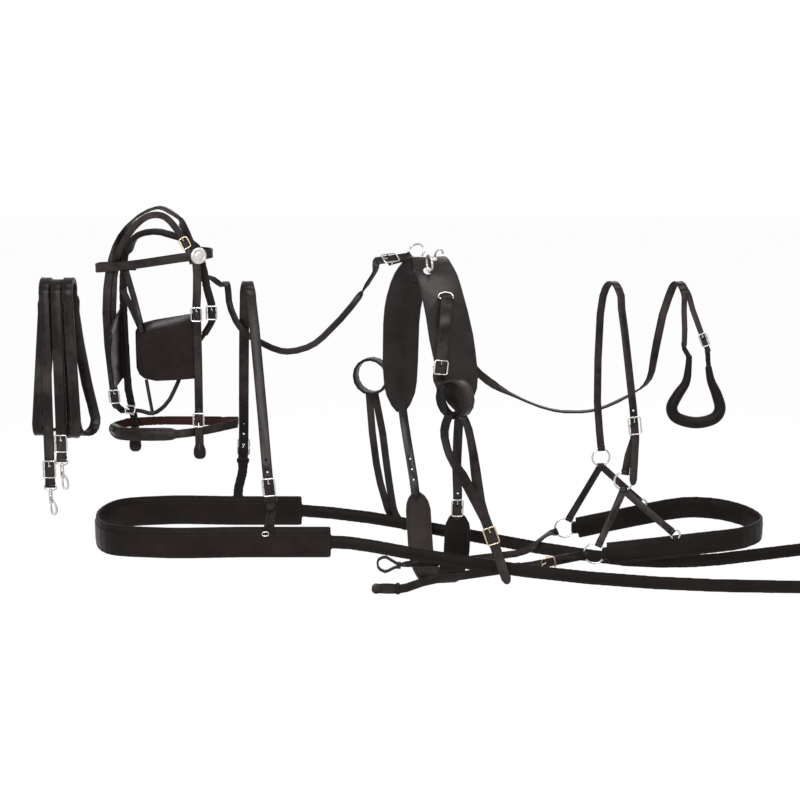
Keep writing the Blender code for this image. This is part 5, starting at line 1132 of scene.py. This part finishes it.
# %% Feet of the terrets
foot_rows = {
    "terret_off": ((-0.0243, 0.0119, 0.0611), (-0.0255, 0.0167, 0.0672)),
    "terret_near": ((-0.0065, -0.0382, 0.0470), (-0.0053, -0.0432, 0.0528)),
}
for name, (low, high) in foot_rows.items():
    low, high = Vector(low), Vector(high)
    reach = (high - low).length
    outline = [
        (0, 0), (0.0085, 0), (0.0085, 0.0012), (0.0078, 0.0018), (0.0058, 0.0022), (0.0046, 0.0034),
        (0.0040, reach * 0.7), (0.0036, reach), (0, reach),
    ]
    foot = turned(name + "_foot", outline, low, high - low)
    whole = joined(name + "_wire", [rings[name], foot])
    print(whole.name, "faces", len(whole.data.polygons))

# %% The hook for the bearing rein
hook_radius, hook_bend = 0.0018, 0.0035
hook_points = [
    (0.0075, -0.0083, 0.0662), (0.0088, -0.0136, 0.0782), (0.0118, -0.0161, 0.0850),
    (0.0178, -0.0161, 0.0880), (0.0230, -0.0131, 0.0845), (0.0239, -0.0104, 0.0793),
]
hook_out, tip_out = Vector((0.1019, -0.4074, 0.9075)), (0.1, 0.3, -1)
hook = bent_wire("bearing_hook_wire", [Vector(point) for point in hook_points], hook_radius, hook_bend)
dome = [
    (0, -0.0006), (0.006, -0.0006), (0.006, 0.0010), (0.0054, 0.0026), (0.0042, 0.0040), (0.0026, 0.0050),
    (0.0018, 0.0056), (0, 0.0056),
]
hook_foot = turned("hook_foot", dome, Vector(hook_points[0]), hook_out)
ball = [(0, -0.0024), (0.0016, -0.0018), (0.0023, 0), (0.0016, 0.0018), (0, 0.0024)]
tip = turned("hook_tip", ball, Vector(hook_points[-1]), tip_out)
bearing_hook = joined("bearing_hook_metal", [hook, hook_foot, tip])
fit_metal(bearing_hook, ["bearing_hook"])
print("hook faces", len(bearing_hook.data.polygons))

# %% [markdown]
# ## The dee on the saddle
#
# The tug strap hangs from a steel dee that is sewn to the near flap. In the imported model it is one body
# with the saddle, so a bright dee of the same shape is laid over it.

# %% Dee of the tug strap
dee_half_width, dee_half_height, dee_radius, dee_bend = 0.0155, 0.012, 0.00185, 0.0022
dee_centre = Vector((0.0281, -0.0654, 0.0010))
dee_side = Vector((0.9701, 0.2425, 0))
dee_fall = Vector((0.1211, -0.4842, -0.8665))
dee_hang = Vector((0.2342, -0.9368, -0.2598))
dee_shape = ((-1, 0.1), (-0.75, -0.55), (0, -0.8), (0.75, -0.55), (1, 0.1), (0.82, 0.62), (-0.82, 0.62))
dee_points = [
    dee_centre + dee_side * (dee_half_width * x) + (dee_hang if y > 0 else dee_fall) * (dee_half_height * y)
    for x, y in dee_shape
]
dee = joined("tug_dee_wire", [bent_wire("tug_dee", dee_points, dee_radius, dee_bend, closed=True)])
fit_metal(dee, [])
print("dee faces", len(dee.data.polygons))

# %% [markdown]
# ## Rosette
#
# The rosette is a domed boss pressed from plated sheet. Its outline is spun, and then every other pair of
# facets of its rim is pressed in a little, so that the rim is fluted like a plain pie edge.

# %% Turn and flute the rosette
rosette_at = Vector((-0.4438, -0.0959, 0.0840))
rosette_out = Vector((0.5219, -0.8530, 0))
rosette_outline = [
    (0, 0.0001), (0.0160, 0.0001), (0.0165, 0.0012), (0.0164, 0.0030), (0.0152, 0.0044), (0.0138, 0.0053),
    (0.0124, 0.0055), (0.0112, 0.0048), (0.0102, 0.0044), (0.0082, 0.0049), (0.0068, 0.0060),
    (0.0046, 0.0068), (0.0022, 0.0069), (0, 0.0069),
]
rim_low, rim_high, rim_floor = 0.0112, 0.0160, 0.003
flute_count, flute_inset, flute_depth = 32, 0.0002, 0.0005
rosette_smooth = 50
rosette = turned("rosette_metal", rosette_outline, (0, 0, 0), (0, 0, 1), steps=2 * flute_count)
for face in rosette.data.polygons:
    middle = face.center
    flute = math.floor(math.atan2(middle.y, middle.x) / math.tau * flute_count)
    on_rim = rim_low < math.hypot(middle.x, middle.y) < rim_high and middle.z > rim_floor
    face.select = on_rim and flute % 2 == 0
take(rosette)
edit(kind="FACE")
bpy.ops.mesh.inset(thickness=flute_inset, depth=-flute_depth, use_individual=False)
leave()
rosette.rotation_euler = standing(rosette_out).to_euler()
rosette.location = rosette_at
take(rosette)
settle()
smooth_under(rosette_smooth)
dress(rosette, ["rosette_near"], "harness", "silver_plate", plated_metal)
print("rosette faces", len(rosette.data.polygons))

# %% [markdown]
# ## Swivel snaps
#
# Each rein ends in a snap. A wire eye carries a boss, the hook turns in the boss on its stem, and a spring
# bolt with a thumb knob slides in the hook's barrel and shuts its mouth.

# %% Sizes of a snap, down from the eye's top
snap_air = 0.0004
up = (0, 0, 1)
eye_half, eye_low, eye_wire, eye_bend, eye_slope_share = 0.01175, -0.011, 0.0015, 0.002, 0.35
boss_radius, boss_round, boss_chamfer = 0.0040, 0.0006, 0.0007
arm_width, arm_drop, arm_radius, arm_bend = 0.0105, 0.0240, 0.0021, 0.0022
boss_top, boss_low = -0.0085, -0.0135
barrel_top, barrel_low = -0.0139, -0.0369
stem, stem_head, barrel, bore = 0.0016, 0.0028, 0.0040, 0.0021
bolt_top, bolt_radius, bolt_travel, mouth = -0.0253, 0.0017, 0.008, 0.010
knob_z, knob_radius, knob_reach = -0.0333, 0.0010, 0.0068
slot_depth = 0.007
boss_steps, rod_steps = 32, 24
print("the bolt slides", bolt_travel * 1000, "mm")


# %% The eye and its boss
def snap_eye(side, top):
    """A wire eye with a turned boss that the hook's stem goes through."""
    low = 1 - eye_slope_share
    shape = [(-1, 0), (-1, low), (-eye_slope_share, 1), (eye_slope_share, 1), (1, low), (1, 0)]
    points = [top + Vector((eye_half * x, 0, eye_low * z)) for x, z in shape]
    loop = bent_wire("eye_loop", points, eye_wire, eye_bend, closed=True)
    hole, face = stem + snap_air, boss_radius - boss_round
    outline = [
        (hole, boss_top), (face, boss_top), (boss_radius, boss_top - boss_chamfer),
        (boss_radius, boss_low + boss_chamfer), (face, boss_low), (hole, boss_low), (hole, boss_top),
    ]
    boss = turned("boss", outline, top, up, boss_steps)
    return joined("snap_eye_" + side + "_wire", [loop, boss])


print("the eye is", eye_half * 2000, "mm wide")


# %% The hook and its barrel
def hollowed(piece, cutters):
    """Takes cutters out of a piece."""
    for cutter in cutters:
        modify(piece, "hollow", "BOOLEAN", operation="DIFFERENCE", solver="EXACT", object=cutter)
        apply_all(piece)
        bpy.data.objects.remove(cutter)


def snap_hook(side, top):
    """A barrel with a stem, bored for the bolt and slotted for its knob, and the hook's bent arm."""
    seat, neck = boss_top + snap_air, barrel * 0.92
    outline = [
        (0, seat + 0.0014), (stem_head * 0.8, seat + 0.0014), (stem_head, seat + 0.0009), (stem_head, seat),
        (stem, seat), (stem, barrel_top), (barrel * 0.8, barrel_top), (barrel, barrel_top - 0.0013),
        (barrel, barrel_top - 0.004), (neck, barrel_top - 0.0045), (neck, barrel_top - 0.0052),
        (barrel, barrel_top - 0.0057), (barrel, barrel_low + 0.0006), (barrel * 0.88, barrel_low),
        (0, barrel_low),
    ]
    body = turned("barrel", outline, top, up, boss_steps)
    well_low, well_top = barrel_low - 0.001, barrel_top - 0.003
    well = [(0, well_low), (bore, well_low), (bore, well_top), (0, well_top)]
    slot_low = knob_z - knob_radius - snap_air
    slot_high = knob_z + bolt_travel + knob_radius + snap_air
    deselect()
    bpy.ops.mesh.primitive_cube_add(
        size=1,
        location=top + Vector((0, -slot_depth / 2, (slot_low + slot_high) / 2)),
        scale=(2 * (knob_radius + snap_air), slot_depth, slot_high - slot_low),
    )
    slot = bpy.context.object
    settle()
    hollowed(body, [turned("well", well, top, up, rod_steps), slot])
    shape = (
        (0.30, 0.30), (0.72, 0.0), (1.0, -0.35), (1.0, -0.72),
        (0.80, -0.94), (0.5, -1.0), (0.2, -0.92), (0.0, -0.7),
    )
    points = [top + Vector((arm_width * x, 0, barrel_low + arm_drop * z)) for x, z in shape]
    points.append(top + Vector((0, 0, barrel_low - mouth)))
    arm = bent_wire("arm", points, arm_radius, arm_bend)
    return joined("snap_hook_" + side + "_metal", [body, arm])


print("the hook's mouth is", mouth * 1000, "mm")


# %% The bolt and its knob
def snap_bolt(side, top):
    """A rod that shuts the mouth, with a knob to draw it by."""
    low = barrel_low - mouth + snap_air
    outline = [
        (0, low), (bolt_radius * 0.7, low), (bolt_radius, low + 0.0005), (bolt_radius, bolt_top - 0.0004),
        (bolt_radius * 0.8, bolt_top), (0, bolt_top),
    ]
    rod = turned("rod", outline, top, up, rod_steps)
    head = knob_radius * 1.8
    thumb = [
        (0, 0.0008), (knob_radius, 0.0008), (knob_radius, knob_reach - 0.0014), (head, knob_reach - 0.0008),
        (head, knob_reach + 0.0004), (knob_radius * 1.2, knob_reach + 0.0010), (0, knob_reach + 0.0010),
    ]
    knob = turned("knob", thumb, top + Vector((0, 0, knob_z)), front, rod_steps)
    return joined("snap_bolt_" + side + "_metal", [rod, knob])


# %% Fit the snaps
snap_tops = {"near": Vector((-0.761, -0.0282, -0.386)), "off": Vector((-0.7365, -0.0246, -0.334))}
for side, top in snap_tops.items():
    fit_metal(snap_eye(side, top), ["snap_eye_" + side])
    fit_metal(snap_hook(side, top), ["snap_hook_" + side], "snap_hook_" + side)
    fit_metal(snap_bolt(side, top), ["snap_bolt_" + side], "snap_bolt_" + side)
print("snaps", len(snap_tops))

# %% [markdown]
# ## The stage
#
# Studio light is large and soft: a broad panel above and in front, a weaker one behind, and an even pale
# world. The backdrop and the floor are white, and the floor keeps the shadow. Each lamp has its place,
# what it aims at, its width and height, and its power.

# %% Floor and world
floor_drop, floor_size = -0.80, 14
floor_tone, floor_rough, floor_specular = (0.93, 0.93, 0.93, 1), 0.8, 0.1
floor_glow, floor_share = 1.04, 0.9
sky_strength, white_strength = 0.4, 1.0
white = (1, 1, 1, 1)
deselect()
bpy.ops.mesh.primitive_plane_add(size=floor_size, location=(0, 3, floor_drop))
floor = named("floor")
floor_kit = Kit("pale_floor")
floor_kit.finish(floor_tone, floor_rough, Specular_IOR_Level=floor_specular)
glow = floor_kit.node("ShaderNodeEmission", {}, {"Color": white, "Strength": floor_glow})
plain = Socket(floor_kit, floor_kit.shader.outputs[0])
floor_kit.surface(floor_kit.seen() * floor_share, plain, glow)
floor.data.materials.append(floor_kit.owner)

studio = Kit("studio", bpy.data.worlds)
bpy.context.scene.world = studio.owner
light, backdrop = (
    studio.node("ShaderNodeBackground", {}, {"Color": white, "Strength": strength})
    for strength in (sky_strength, white_strength)
)
studio.surface(studio.seen(), light, backdrop)
print("floor and world set")

# %% Lamps
lamp_rows = [
    ("front_panel", (-0.7, -3.1, 0.9), (0, 0, -0.25), 1.2, 0.6, 40),
    ("top_panel", (0.2, -1.1, 2.2), (0, 0, -0.1), 2.4, 0.6, 40),
    ("back_panel", (0.8, 1.7, 1.5), (0, 0, -0.2), 1.4, 0.8, 9),
]
for name, place, aim, wide, tall, power in lamp_rows:
    deselect()
    bpy.ops.object.light_add(type="AREA", location=place)
    panel = bpy.context.object
    panel.name = name
    panel.data.shape = "RECTANGLE"
    panel.data.size = wide
    panel.data.size_y = tall
    panel.data.energy = power
    panel.rotation_euler = (Vector(aim) - Vector(place)).to_track_quat("-Z", "Y").to_euler()

bpy.context.scene.view_settings.view_transform = "Standard"
print("lamps", len(lamp_rows))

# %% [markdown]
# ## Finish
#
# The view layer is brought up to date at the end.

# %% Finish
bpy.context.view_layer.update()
